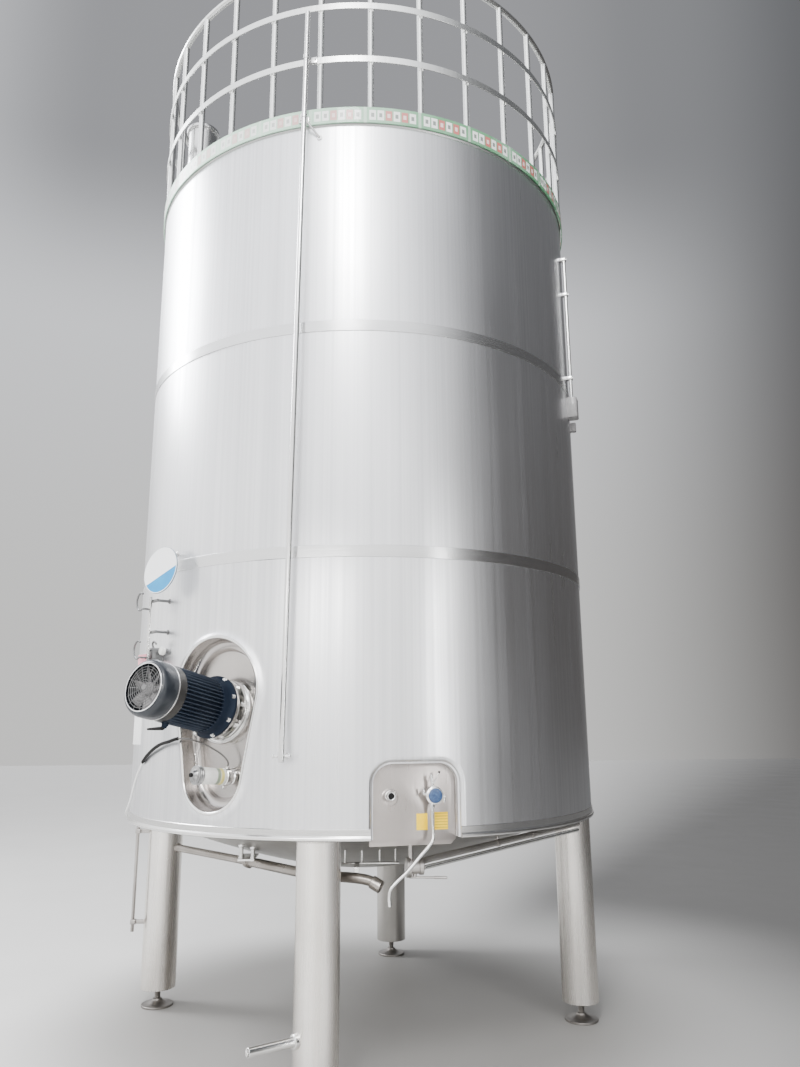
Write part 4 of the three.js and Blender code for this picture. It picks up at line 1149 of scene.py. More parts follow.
PAN_SHEET = 0.006
PAN_FILLET = 0.034
LIP_WIDTH = 0.014
LIP_HEIGHT = 0.012
LIP_FOOT = 0.0035


def lofted(name, loops, round_loops=True, capped=True):
    """Draws the first outline and extrudes it onto each of the next ones."""
    first = [Vector(point) for point in loops[0]]
    piece = chain(name, first + first[:1] if round_loops else first)
    bpy.ops.mesh.remove_doubles(threshold=0.00001)
    last = first
    for loop in loops[1:]:
        bpy.ops.mesh.extrude_edges_move()
        bpy.ops.object.mode_set(mode="OBJECT")
        for corner in [vertex for vertex in piece.data.vertices if vertex.select]:
            nearest = min(range(len(last)), key=lambda i: (corner.co - last[i]).length_squared)
            corner.co = loop[nearest]
        last = [Vector(point) for point in loop]
        bpy.ops.object.mode_set(mode="EDIT")
    bpy.ops.mesh.select_all(action="SELECT")
    bpy.ops.mesh.remove_doubles(threshold=0.00001)
    if capped:
        bpy.ops.mesh.select_all(action="SELECT")
        bpy.ops.mesh.fill_holes(sides=0)
    return smoothed(closed_up(piece))


def wall_face(across, proud):
    """How far out the cladding is at a distance from an azimuth's middle line."""
    return math.sqrt((SHELL_RADIUS + proud) ** 2 - across**2)


def pan_loop(grow, outward=None, proud=0.0):
    """The egg's outline on a flat or on the cladding."""
    return [
        facing(ALCOVE_AZIMUTH, across, wall_face(across, proud) if outward is None else outward, height)
        for across, height in egg(grow)
    ]


pan_steel = steel(
    "pan_steel",
    (0.56, 0.535, 0.515),
    (0.33, 0.305, 0.29),
    0.22,
    (1.0, 1.0, 0.35),
    grain=26.0,
    clouds=3.4,
)
pan_front = ALCOVE_FLOOR + PAN_SHEET
loops = [pan_loop(-0.060, ALCOVE_FLOOR), pan_loop(0.0, ALCOVE_FLOOR), pan_loop(0.0, proud=-0.004)]
loops += [pan_loop(LIP_WIDTH - 0.001, proud=0.0003), pan_loop(LIP_WIDTH, proud=0.0015)]
half = (LIP_WIDTH + PAN_SHEET) / 2
for step in range(9):
    turn = math.pi * step / 8
    proud = LIP_FOOT + (LIP_HEIGHT - LIP_FOOT) * math.sin(turn)
    loops.append(pan_loop(LIP_WIDTH - half + half * math.cos(turn), proud=proud))
for step in range(9):
    turn = math.pi / 2 * step / 8
    outward = pan_front + PAN_FILLET * (1 - math.sin(turn))
    loops.append(pan_loop(-PAN_SHEET - PAN_FILLET * (1 - math.cos(turn)), outward))
inset = -PAN_SHEET - PAN_FILLET
loops += [pan_loop(inset - 0.012, pan_front), pan_loop(inset - 0.016, pan_front + 0.0015)]
loops += [pan_loop(inset - 0.020, pan_front + 0.0035), pan_loop(inset - 0.026, pan_front + 0.004)]
pan = lofted("recess_pan", loops)
fitted(pan, pan_steel, "satin_steel", "alcove_liner")
lip_section = []
for step in range(9):
    turn = math.pi * step / 8
    lip_section.append((0.0035 + 0.0085 * math.cos(turn), 0.004 + 0.0085 * math.sin(turn)))
lip_section.append(lip_section[0])
lip = lofted("recess_lip", [pan_loop(grow, proud=proud) for grow, proud in lip_section])
polished = steel(
    "polished_edge", (0.93, 0.93, 0.92), (0.82, 0.82, 0.81), 0.16, grain=50.0, clouds=4.0, depth=0.0001
)
fitted(lip, polished, "bright_steel")
skirt_section = [(0.009, 0.0003), (0.009, 0.0105), (0.014, 0.0085), (0.019, 0.0055), (0.026, 0.0025)]
skirt_section += [(0.036, 0.0010), (0.048, 0.0006), (0.048, 0.0003), (0.009, 0.0003)]
skirt = lofted("recess_skirt", [pan_loop(grow, proud=proud) for grow, proud in skirt_section])
fitted(skirt, cladding, "satin_steel")


# Agitator mount
# A machined stainless disc welded into the recess at a slant, and on it the bearing lantern with
# its bolted flange, its neck with open windows, and the flange that carries the motor.

AGITATOR_TILT = 10.4
AGITATOR_Z = 1.703
AGITATOR = (
    at_azimuth(ALCOVE_AZIMUTH)
    @ Matrix.Translation((0.0, -SHELL_RADIUS, AGITATOR_Z))
    @ Matrix.Rotation(math.radians(90 - AGITATOR_TILT), 4, "X")
)

mount = turned(
    "mount_disc",
    [
        (0.0, -0.140),
        (0.161, -0.140),
        (0.161, -0.083),
        (0.159, -0.0795),
        (0.156, -0.0785),
        (0.153, -0.0795),
        (0.151, -0.084),
        (0.1475, -0.084),
        (0.0, -0.084),
    ],
    96,
)
flange = turned(
    "bearing_flange",
    [
        (0.0, -0.090),
        (0.145, -0.090),
        (0.145, -0.063),
        (0.143, -0.060),
        (0.112, -0.060),
        (0.106, -0.056),
        (0.100, -0.048),
        (0.100, -0.028),
        (0.106, -0.020),
        (0.112, -0.018),
        (0.143, -0.018),
        (0.145, -0.016),
        (0.145, -0.002),
        (0.143, 0.0),
        (0.0, 0.0),
    ],
    96,
)
window = block("window", (-0.030, -0.160, -0.052), (0.030, -0.060, -0.024))
windows = repeated("windows", window, around(4, 0.0, 0.0, 20.0))
flange = carved(flange, windows)
rib = block("rib", (-0.006, -0.140, -0.061), (0.006, -0.096, -0.017), 0.002)
ribs = repeated("ribs", rib, around(4, 0.0, 0.0, 65.0))
flange_bolts = repeated("flange_bolts", hex_bolt("bolt", 0.019, 0.013), around(8, 0.128, -0.060, 10.0))
lantern = put(joined("bearing_lantern", [mount, flange, ribs, flange_bolts]), AGITATOR)
fitted(lantern, bright_steel, "bright_steel", "agitator_mount")


# Motor
# A finned cast motor painted dark navy, with a bolted flange and a cable gland underneath, from
# which a short black lead sticks out.

MOTOR_FINS = 44

# Painted shade: the body's navy is a darker copy of the paint, set against the light that its flare
# catches.
navy = Finish("motor_paint", specular=0.10)
dust = navy.noise(navy.place, 9.0, 6.0)
speckle = navy.noise(navy.place, 320.0, 3.0)
navy.surface(
    navy.mixed((dust - 0.42) * 1.6, (0.005, 0.009, 0.018), (0.018, 0.026, 0.039)),
    dust * 0.25 + speckle * 0.12 + 0.36,
)
navy.bumped(speckle, 0.0003)
core = turned(
    "motor_core",
    [
        (0.0, 0.0003),
        (0.1485, 0.0003),
        (0.150, 0.002),
        (0.150, 0.0145),
        (0.1485, 0.0165),
        (0.1420, 0.0225),
        (0.1355, 0.036),
        (0.1315, 0.052),
        (0.1295, 0.068),
        (0.1270, 0.072),
        (0.1125, 0.074),
        (0.1125, 0.312),
        (0.126, 0.316),
        (0.1265, 0.3295),
        (0.0, 0.3295),
    ],
    96,
)
fin = block("fin", (-0.0013, -0.129, 0.036), (0.0013, -0.108, 0.318), 0.0008)
fins = repeated("fins", fin, around(MOTOR_FINS, 0.0))
gland_outline = [(0.0, 0.0), (0.016, 0.0), (0.016, 0.014), (0.013, 0.016), (0.013, 0.024)]
gland_nut = turned("gland_nut", gland_outline + [(0.010, 0.026), (0.0, 0.026)], 12)
put(gland_nut, aim((0.014, -0.125, 0.300), (-0.35, -1.0, 0.0)))
fitted(put(joined("motor_body", [core, gland_nut]), AGITATOR), navy, "motor_paint", "agitator_motor")
# Painted light: the fins have a lighter copy of the navy, set against the shade that falls between
# them.
fin_navy_painted_light = Finish("fin_paint_painted_light")
fin_dust = fin_navy_painted_light.noise(fin_navy_painted_light.place, 9.0, 6.0)
fin_navy_painted_light.surface(
    fin_navy_painted_light.mixed((fin_dust - 0.42) * 1.6, (0.018, 0.028, 0.047), (0.050, 0.064, 0.088)),
    fin_dust * 0.25 + 0.42,
)
fin_navy_painted_light.bumped(fin_navy_painted_light.noise(fin_navy_painted_light.place, 320.0, 3.0), 0.0003)
fitted(put(fins, AGITATOR), fin_navy_painted_light, "motor_paint")
motor_bolts = repeated("motor_bolts", hex_bolt("bolt", 0.020, 0.013), around(8, 0.1395, 0.016, 18.0))
fitted(put(motor_bolts, AGITATOR), bright_steel, "bright_steel")


def through(name, points, radius, per_span=6, steps=3):
    """A round bar or tube through points, as a closed mesh."""
    places = smooth_route([Vector(point) for point in points], per_span) if per_span > 1 else points
    alone(tube_along(name, places, radius, steps))
    bpy.ops.object.convert(target="MESH")
    piece = bpy.context.object
    bpy.ops.object.mode_set(mode="EDIT")
    return smoothed(closed_up(piece))


lead_bend = [(0.008, -0.143, 0.300), (0.004, -0.150, 0.300), (-0.006, -0.1535, 0.2998)]
lead_root = through("lead_root", lead_bend, 0.0085)
tail_outline = [(0.0, 0.0), (0.0086, 0.0005), (0.0080, 0.030), (0.0052, 0.094), (0.0038, 0.099)]
lead_tail = put(
    turned("lead_tail", tail_outline + [(0.0, 0.100)], 20),
    aim((0.001, -0.1525, 0.2998), (-0.103, -0.0030, -0.0035)),
)
fitted(put(joined("motor_lead", [lead_root, lead_tail]), AGITATOR), rubber, "black_sheath")


# Fan cover of the motor
# A spun steel hood over the motor's fan, with a clamping ring round its middle, a rounded rim
# and a wire grille in its open end. The pale fan shows behind the wires.

GRILLE_RINGS = 9
GRILLE_SPOKES = 16
GRILLE_Z = 0.4530
MOUTH_RADIUS = 0.1035
WIRE_RADIUS = 0.0014
FAN_BLADES = 7

cover_paint = Finish("cover_paint", coat=0.12, specular=0.35)
cover_dust = cover_paint.noise(cover_paint.place, 14.0, 5.0)
cover_paint.surface(
    cover_paint.mixed((cover_dust - 0.4) * 1.8, (0.012, 0.015, 0.020), (0.040, 0.044, 0.050)),
    cover_dust * 0.22 + 0.24,
)
cover_paint.bumped(cover_dust, 0.0003)
cover = turned(
    "cover_hood",
    [
        (0.0, 0.3303),
        (0.1265, 0.3303),
        (0.1265, 0.366),
        (0.1290, 0.367),
        (0.1295, 0.370),
        (0.1295, 0.428),
        (0.1270, 0.441),
        (0.1210, 0.4515),
        (0.1130, 0.458),
        (0.1060, 0.460),
        (0.1035, 0.4588),
        (0.1035, 0.456),
        (0.1100, 0.452),
        (0.1230, 0.430),
        (0.1230, 0.345),
        (0.0, 0.345),
    ],
    96,
)
fitted(put(cover, AGITATOR), cover_paint, "fan_cover_paint", "fan_cover")


def closed(outline):
    """An outline that ends where it starts."""
    return outline + outline[:1]


ring_outline = [(0.1265, 0.3655), (0.1302, 0.3660), (0.1310, 0.3690), (0.1302, 0.3720)]
ring_outline.append((0.1265, 0.3725))
mouth_outline = [(0.1040, 0.4585), (0.1052, 0.4602), (0.1078, 0.4604), (0.1092, 0.4590)]
mouth_outline.append((0.1075, 0.4578))
cover_ring = turned("cover_ring", closed(ring_outline), 96)
mouth_ring = turned("mouth_ring", closed(mouth_outline), 96)
fitted(put(joined("cover_rings", [cover_ring, mouth_ring]), AGITATOR), polished, "bright_steel")
end_outline = [(0.1262, 0.3165), (0.1272, 0.3175), (0.1272, 0.3650), (0.1262, 0.3655)]
motor_end = turned("motor_end", closed(end_outline), 96)
cast_end = steel(
    "cast_end", (0.085, 0.082, 0.078), (0.05, 0.048, 0.046), 0.40, grain=80.0, clouds=12.0
)
fitted(put(motor_end, AGITATOR), cast_end, "dark_steel")
wires = []
for number in range(1, GRILLE_RINGS):
    middle = MOUTH_RADIUS * number / GRILLE_RINGS
    wire_outline = [
        (middle + WIRE_RADIUS * math.cos(turn), WIRE_RADIUS * math.sin(turn))
        for turn in (step * math.pi / 3 for step in range(7))
    ]
    ring_wire = turned("ring_wire", wire_outline, 48)
    wires.append(put(ring_wire, Matrix.Translation((0, 0, GRILLE_Z + 0.0015))))
spoke = rod("spoke", (0.0, -0.012, GRILLE_Z), (0.0, -0.108, GRILLE_Z), 0.0013, 8, 0.0003)
wires.append(repeated("spokes", spoke, around(GRILLE_SPOKES, 0.0)))
wires.append(put(drum("hub_cap", 0.0125, 0.0, 0.003, 24, 0.001), Matrix.Translation((0, 0, GRILLE_Z))))
wire_steel = steel(
    "wire_steel", (0.24, 0.24, 0.24), (0.10, 0.10, 0.10), 0.42, grain=90.0, clouds=20.0
)
fitted(put(joined("cover_grille", wires), AGITATOR), wire_steel, "dark_steel")
fan_plastic = Finish("fan_plastic", coat=0.2)
fan_dust = fan_plastic.noise(fan_plastic.place, 30.0, 5.0)
fan_grey = fan_plastic.mixed(fan_dust, (0.13, 0.127, 0.13), (0.34, 0.33, 0.33))
fan_plastic.surface(fan_grey, fan_dust * 0.3 + 0.3)
fan_plastic.bumped(fan_dust, 0.0004)
blade = put(
    block("blade", (-0.022, -0.106, -0.0012), (0.022, -0.022, 0.0012), 0.0009),
    Matrix.Translation((0, 0, 0.410)) @ Matrix.Rotation(math.radians(34), 4, "Y"),
)
blades = repeated("blades", blade, around(FAN_BLADES, 0.0))
hub = put(drum("hub", 0.030, 0.0, 0.040, 36, 0.004), Matrix.Translation((0, 0, 0.395)))
fitted(put(joined("motor_fan", [blades, hub]), AGITATOR), fan_plastic, "white_plastic")


# Level transmitter
# A small white instrument in the lower part of the recess: a hexagon union and a clamp ring at
# its root, a white housing with two blank colour bands, a knurled steel ring and a black tip.

TRANSMITTER_ROOT = (0.055, -(ALCOVE_FLOOR + PAN_SHEET), 1.373)
TRANSMITTER = at_azimuth(ALCOVE_AZIMUTH) @ aim(TRANSMITTER_ROOT, (-0.2155, -0.972, 0.094))

union_outline = [(0.0, 0.002), (0.034, 0.002), (0.036, 0.005), (0.036, 0.018), (0.032, 0.022)]
union = turned("union", union_outline + [(0.030, 0.040), (0.0, 0.040)], 36)
nut_outline = [(0.0, 0.020), (0.033, 0.020), (0.035, 0.022), (0.035, 0.037), (0.033, 0.040)]
union_nut = turned("union_nut", nut_outline + [(0.0, 0.040)], 6)
clamp_outline = [(0.0, 0.040), (0.041, 0.040), (0.043, 0.043), (0.0425, 0.062), (0.040, 0.065)]
clamp_ring = turned("clamp_ring", clamp_outline + [(0.0, 0.065)], 48)
end_ring = turned(
    "end_ring",
    [
        (0.0, 0.195),
        (0.042, 0.195),
        (0.044, 0.197),
        (0.044, 0.203),
        (0.042, 0.205),
        (0.044, 0.207),
        (0.044, 0.213),
        (0.042, 0.215),
        (0.0435, 0.217),
        (0.043, 0.221),
        (0.040, 0.222),
        (0.026, 0.222),
        (0.024, 0.2245),
        (0.0165, 0.239),
        (0.0145, 0.240),
        (0.0, 0.240),
    ],
    48,
)
lug = block("lug", (-0.007, -0.056, 0.043), (0.007, -0.036, 0.060), 0.002)
ring_parts = put(joined("transmitter_rings", [union, union_nut, clamp_ring, lug]), TRANSMITTER)
fitted(ring_parts, bright_steel, "bright_steel", "level_transmitter")
knurled = steel(
    "knurled_steel", (0.42, 0.42, 0.42), (0.12, 0.12, 0.12), 0.34, grain=160.0, clouds=90.0, wear=1.0
)
fitted(put(end_ring, TRANSMITTER), knurled, "bright_steel")
housing = turned(
    "housing",
    [
        (0.0, 0.0652),
        (0.0365, 0.0652),
        (0.038, 0.068),
        (0.038, 0.150),
        (0.0385, 0.152),
        (0.0385, 0.190),
        (0.037, 0.1948),
        (0.0, 0.1948),
    ],
    48,
)
housing_white = Finish("housing_white", coat=0.3)
axial = housing_white.coordinate(housing_white.seen_from(TRANSMITTER), 2)
grime = housing_white.noise(housing_white.place, 40.0, 5.0)
plain_white = housing_white.mixed(grime, (0.70, 0.70, 0.66), (0.84, 0.84, 0.81))
green_band = housing_white.between(axial, 0.100, 0.118) * 0.8
yellow_band = housing_white.between(axial, 0.080, 0.098) * 0.8
with_green = housing_white.mixed(green_band, plain_white, (0.13, 0.20, 0.10))
with_yellow = housing_white.mixed(yellow_band, with_green, (0.72, 0.62, 0.08))
housing_white.surface(with_yellow, grime * 0.2 + 0.28)
housing_white.bumped(grime, 0.0002)
fitted(put(housing, TRANSMITTER), housing_white, "white_plastic")
tip = turned("tip", [(0.0, 0.236), (0.010, 0.236), (0.010, 0.248), (0.008, 0.250), (0.0, 0.250)], 32)
fitted(put(tip, TRANSMITTER), rubber, "black_sheath")
lanyard_bend = [
    (-0.006, -1.372, 1.556),
    (-0.010, -1.398, 1.542),
    (-0.008, -1.424, 1.505),
    (-0.002, -1.440, 1.460),
    (0.008, -1.447, 1.428),
]
lanyard = through("lanyard", lanyard_bend, 0.0013, 5, 2)
put(lanyard, at_azimuth(ALCOVE_AZIMUTH))
fitted(lanyard, wire_steel, "dark_steel")
cable_gland = rod("cable_gland", (0.052, -1.296, 1.405), (0.058, -1.296, 1.4281), 0.009, 12, 0.002)
put(cable_gland, at_azimuth(ALCOVE_AZIMUTH))
fitted(cable_gland, bright_steel, "bright_steel")


# Conduit on the left leg
# A steel tube on two short arms that takes the signal cable down the leg. A dark clamp block
# holds it at the upper arm.

ARM_HEIGHTS = (0.985, 0.470)
CONDUIT_BOTTOM = 0.415
FORWARDS = (0, -1, 0)

dull_steel = steel(
    "dull_steel", (0.50, 0.48, 0.46), (0.27, 0.25, 0.235), 0.36, grain=80.0, clouds=8.0
)
conduit = turned(
    "conduit_tube",
    [
        (0.0, CONDUIT_BOTTOM),
        (0.0095, CONDUIT_BOTTOM),
        (0.010, CONDUIT_BOTTOM + 0.001),
        (0.010, CONDUIT_TOP - 0.022),
        (0.0098, CONDUIT_TOP - 0.001),
        (0.0065, CONDUIT_TOP),
        (0.0, CONDUIT_TOP),
    ],
    24,
)
put(conduit, Matrix.Translation((*CONDUIT_PLACE, 0.0)))
conduit_parts = [conduit]
leg_left_x = -math.sqrt(LEG_CIRCLE**2 - on_tank(LEG_AZIMUTH - 90, LEG_CIRCLE, 0).y ** 2)
for height in ARM_HEIGHTS:
    arm = block(
        "arm",
        (CONDUIT_PLACE[0], CONDUIT_PLACE[1] - 0.006, height - 0.012),
        (leg_left_x - 0.080, CONDUIT_PLACE[1] + 0.006, height + 0.012),
        0.002,
    )
    saddle = block(
        "saddle",
        (CONDUIT_PLACE[0] - 0.0125, CONDUIT_PLACE[1] - 0.016, height - 0.014),
        (CONDUIT_PLACE[0] + 0.020, CONDUIT_PLACE[1] + 0.016, height + 0.014),
        0.004,
    )
    screw_place = (CONDUIT_PLACE[0] + 0.014, CONDUIT_PLACE[1] - 0.016, height)
    screw = put(hex_bolt("bolt", 0.010, 0.006), aim(screw_place, FORWARDS))
    conduit_parts += [arm, saddle, screw]
fitted(joined("leg_conduit_tube", conduit_parts), dull_steel, "dark_steel", "leg_conduit")


# Round sign
# A thin round plate that stands off the cladding on an arm. It is white above a slanting edge
# and plain blue below it.

SIGN_AZIMUTH = -47.0
SIGN_FACE_AZIMUTH = -36.9
SIGN_RISE = math.radians(6.8)
SIGN_RADIUS = 0.125
SIGN_ARM_Z = 2.500
SIGN_EDGE_SLOPE, SIGN_EDGE_DROP = 0.42, 0.036
SIGN_BLUE_RADIUS = 0.119
SIGN_BORDER_FROM = 0.1225

sign_centre = on_tank(SIGN_AZIMUTH, 1.440, 2.404)
sign_heading = on_tank(SIGN_FACE_AZIMUTH, math.cos(SIGN_RISE), math.sin(SIGN_RISE))
SIGN = aim(sign_centre, sign_heading)
sign_plate = turned(
    "sign_plate",
    [
        (0.0, -0.004),
        (SIGN_RADIUS - 0.002, -0.004),
        (SIGN_RADIUS, -0.002),
        (SIGN_RADIUS, 0.002),
        (SIGN_RADIUS - 0.0015, 0.0038),
        (0.0, 0.004),
    ],
    96,
)
sign_paint = Finish("sign_paint", specular=0.25)
on_sign = sign_paint.seen_from(SIGN)
sign_x, sign_y, sign_z = (sign_paint.coordinate(on_sign, axis) for axis in range(3))
sign_reach = sign_paint.reach(on_sign)
below_edge = sign_x * SIGN_EDGE_SLOPE - SIGN_EDGE_DROP - sign_y
below = sign_paint.ranged(below_edge, -0.001, 0.001)
blue_part = below * (sign_reach < SIGN_BLUE_RADIUS) * (sign_z > 0.0)
fade = sign_paint.noise(sign_paint.place, 12.0, 4.0)
sky_blue = sign_paint.mixed(fade, (0.0, 0.20, 0.50), (0.01, 0.33, 0.66))
white_sheet = sign_paint.mixed(fade, (0.92, 0.93, 0.94), (0.97, 0.975, 0.975))
face = sign_paint.mixed(blue_part, white_sheet, sky_blue)
border = sign_paint.ranged(sign_reach, SIGN_BORDER_FROM, SIGN_BORDER_FROM + 0.001)
sign_paint.surface(sign_paint.mixed(border, face, (0.16, 0.22, 0.27)), fade * 0.12 + 0.30)
sign_paint.bumped(fade, 0.0003)
fitted(put(sign_plate, SIGN), sign_paint, "white_plastic", "round_sign")
sign_arm = rod(
    "sign_arm",
    on_tank(SIGN_AZIMUTH, SHELL_RADIUS - 0.002, SIGN_ARM_Z),
    Vector((*(sign_centre - sign_heading * 0.018).xy, SIGN_ARM_Z)),
    0.009,
)
arm_pad = put(
    turned("pad", [(0.0, 0.0), (0.020, 0.0), (0.018, 0.003), (0.010, 0.009), (0.0, 0.009)], 24),
    aim(on_tank(SIGN_AZIMUTH, SHELL_RADIUS - 0.002, SIGN_ARM_Z), on_tank(SIGN_AZIMUTH, 1.0, 0.0)),
)
fitted(joined("sign_bracket", [sign_arm, arm_pad]), bright_steel, "bright_steel")


# Hook bar and its tag
# An upright stainless bar on two stand-off arms, with two open hooks of round bar, and a long
# white tag with a pink end that hangs from its foot.

HOOK_AZIMUTH = -51.5
BAR_OUT = (1.424, 1.434)
BAR_BOTTOM, BAR_TOP = 1.935, 2.278
HOOK_HEIGHTS = (2.254, 2.002)
ARM_LEVELS = (2.255, 2.092)
HOOK_RADIUS = 0.046
HOOK_OUT = 1.464
TAG_PINK_FROM = 1.862


def about(middle, half):
    """Two limits at the same distance from a middle."""
    return middle - half, middle + half


def wall_block(name, across, outward, upward, edge):
    """A block in front of the wall, given by its limits across, outwards and up."""
    low = (across[0], -outward[1], upward[0])
    high = (across[1], -outward[0], upward[1])
    return block(name, low, high, edge)


bar = wall_block("bar", (-0.009, 0.009), BAR_OUT, (BAR_BOTTOM, BAR_TOP), 0.0015)
fitted(put(bar, at_azimuth(HOOK_AZIMUTH)), bright_steel, "bright_steel", "hook_bar")
arm_parts = []
for level in ARM_LEVELS:
    arm = wall_block("arm", (-0.006, 0.061), (1.411, 1.4237), about(level, 0.0078), 0.002)
    spacer = rod("spacer", (0.054, -1.346, level), (0.054, -1.421, level), 0.0075, 12)
    pad = put(drum("pad", 0.014, 0.0, 0.004, 16, 0.001), aim((0.054, -1.3475, level), FORWARDS))
    arm_parts += [arm, spacer, pad]
for height in HOOK_HEIGHTS:
    root = height - 0.041
    arm_parts.append(wall_block("stub", (-0.012, -0.002), (1.430, 1.468), about(root, 0.005), 0.002))
    bend = [(-0.004, -HOOK_OUT, root)]
    for step in range(13):
        turn = math.radians(300 - step * 20)
        across = -HOOK_RADIUS + HOOK_RADIUS * math.cos(turn)
        bend.append((across, -HOOK_OUT, height + HOOK_RADIUS * math.sin(turn)))
    arm_parts.append(through("hook", bend, 0.005, 3))
fitted(put(joined("hook_arms", arm_parts), at_azimuth(HOOK_AZIMUTH)), wire_steel, "dark_steel")
tag = wall_block("hanging_strip", (-0.094, -0.004), (1.4344, 1.4374), (1.5250, 1.9800), 0.001)
tag_paint = Finish("tag_card", coat=0.1)
tag_wear = tag_paint.noise(tag_paint.place, 25.0, 5.0)
tag_height = tag_paint.along(2)
pink = tag_paint.mixed(tag_wear, (0.66, 0.22, 0.28), (0.78, 0.38, 0.42))
card = tag_paint.mixed(tag_wear, (0.82, 0.83, 0.83), (0.93, 0.93, 0.92))
tag_paint.surface(tag_paint.mixed(tag_height > TAG_PINK_FROM, card, pink), tag_wear * 0.2 + 0.4)
tag_paint.bumped(tag_wear, 0.0006)
fitted(put(tag, at_azimuth(HOOK_AZIMUTH)), tag_paint, "white_plastic", "hanging_tag")


# Small wall valve
# A worn grey valve block on the cladding beside the hooks, with a bent handle and a white knob.

VALVE_AZIMUTH = -50.5

grey_cast = steel(
    "grey_casting", (0.24, 0.24, 0.24), (0.09, 0.09, 0.09), 0.45, grain=70.0, clouds=30.0
)
valve_body = wall_block("body", (-0.060, -0.006), (1.346, 1.412), (1.944, 2.014), 0.006)
valve_boss = put(drum("boss", 0.014, 0.0, 0.034, 24, 0.003), aim((0.034, -1.346, 1.994), FORWARDS))
valve_link = wall_block("link", (-0.010, 0.034), (1.350, 1.368), (1.982, 2.006), 0.003)
handle_bend = [
    (-0.030, -1.396, 2.010),
    (-0.026, -1.404, 2.034),
    (-0.010, -1.404, 2.044),
    (0.004, -1.398, 2.030),
]
handle = through("handle", handle_bend, 0.005)
valve_screws = [
    put(hex_bolt("bolt", 0.010, 0.006), aim((-0.032, -1.412, z), FORWARDS)) for z in (1.958, 2.000)
]
wall_valve = joined("wall_valve_block", [valve_body, valve_boss, valve_link, handle, *valve_screws])
fitted(put(wall_valve, at_azimuth(VALVE_AZIMUTH)), grey_cast, "dark_steel", "wall_valve")
knob_outline = [(0.0, 0.016), (0.018, 0.016), (0.022, 0.020), (0.022, 0.032), (0.018, 0.039)]
knob = turned("valve_knob", knob_outline + [(0.010, 0.041), (0.0, 0.041)], 12)
put(knob, at_azimuth(VALVE_AZIMUTH) @ aim((0.034, -1.350, 1.994), FORWARDS))
fitted(knob, housing_white, "white_plastic")


# Riser pipe
# A thin stainless pipe in front of the cladding from the roof down to a two-eared clip, tied
# back by a strut at the toe board and by a clamp plate on the lower hoop.

RISER_FOOT = Vector((-0.372, -1.350, 1.452))
RISER_HEAD = Vector((-0.323, -1.362, 5.521))
RISER_RADIUS = 0.014
CLIP_Z = 1.480
CLIP_TURN = math.radians(-15.4)
COLLAR_BORE = 0.0138
PAD_INNER = SHELL_RADIUS - 0.002
PAD_OUTER = SHELL_RADIUS + 0.005
STRUT_AZIMUTH = -10.6
STRUT_FOOT_Z = 4.735


def riser_at(height):
    return RISER_FOOT.lerp(RISER_HEAD, (height - RISER_FOOT.z) / (RISER_HEAD.z - RISER_FOOT.z))


def on_radius(point, radius):
    return Vector((point.x, point.y, 0.0)).normalized() * radius + Vector((0.0, 0.0, point.z))


riser_steel = steel(
    "riser_steel",
    (0.84, 0.84, 0.84),
    (0.62, 0.61, 0.60),
    0.22,
    (1.0, 1.0, 0.05),
    grain=70.0,
    clouds=4.0,
)
clip_point = riser_at(CLIP_Z)
ear = Vector((math.cos(CLIP_TURN), math.sin(CLIP_TURN), 0.0))
riser_parts = [
    rod("pipe", RISER_FOOT, RISER_HEAD, RISER_RADIUS, 32, 0.002),
    rod("stem", on_radius(clip_point, PAD_INNER), clip_point, 0.009, 16),
    rod("ears", clip_point - ear * 0.036, clip_point + ear * 0.036, 0.006, 16),
    rod("pad", on_radius(clip_point, PAD_INNER), on_radius(clip_point, PAD_OUTER), 0.017, 20),
]
riser_line = RISER_HEAD - RISER_FOOT
collar = ring("collar", COLLAR_BORE, 0.0185, -0.010, 0.010, 32)
riser_parts.append(put(collar, aim(clip_point, riser_line)))
for side in (-1, 1):
    nut_from, nut_to = (clip_point + ear * limit for limit in about(side * 0.040, 0.006))
    riser_parts.append(rod("ear_nut", nut_from, nut_to, 0.010, 12, 0.003))
strut_foot = on_tank(STRUT_AZIMUTH, PAD_OUTER, STRUT_FOOT_Z)
riser_parts.append(rod("strut", strut_foot, riser_at(4.830), 0.006, 12))
riser_parts.append(
    rod("strut_pad", on_tank(STRUT_AZIMUTH, PAD_INNER, STRUT_FOOT_Z), strut_foot, 0.015, 20)
)
for height, left, right in ((5.220, -0.014, 0.054), (4.843, -0.038, 0.018)):
    point = riser_at(height)
    turn = Matrix.Rotation(math.atan2(point.x, -point.y), 4, "Z")
    plate = wall_block("plate", (left, right), (1.3673, 1.3745), about(height, 0.018), 0.0015)
    spacer = wall_block("spacer", (-0.010, 0.010), (1.3673, 1.402), about(height, 0.009), 0.002)
    clamp = ring("collar", COLLAR_BORE, 0.0175, -0.012, 0.012, 32)
    riser_parts += [put(plate, turn), put(spacer, turn), put(clamp, aim(point, riser_line))]
    for x in (left + 0.010, right - 0.010):
        bolt_place = turn @ aim((x, -1.3745, height), FORWARDS)
        riser_parts.append(put(hex_bolt("bolt", 0.010, 0.006), bolt_place))
fitted(joined("riser_tube", riser_parts), riser_steel, "bright_steel", "riser_pipe")


# Service panel
# A flat stainless plate, set back in a niche at the rim of the cladding, whose sheet folds in round it
# in a soft bend. The plate's steel has a warm tone and is darker than the cladding, partly its own dull
# finish and partly painted shade for the darker things it mirrors in its niche; its lower right corner
# is cut off.

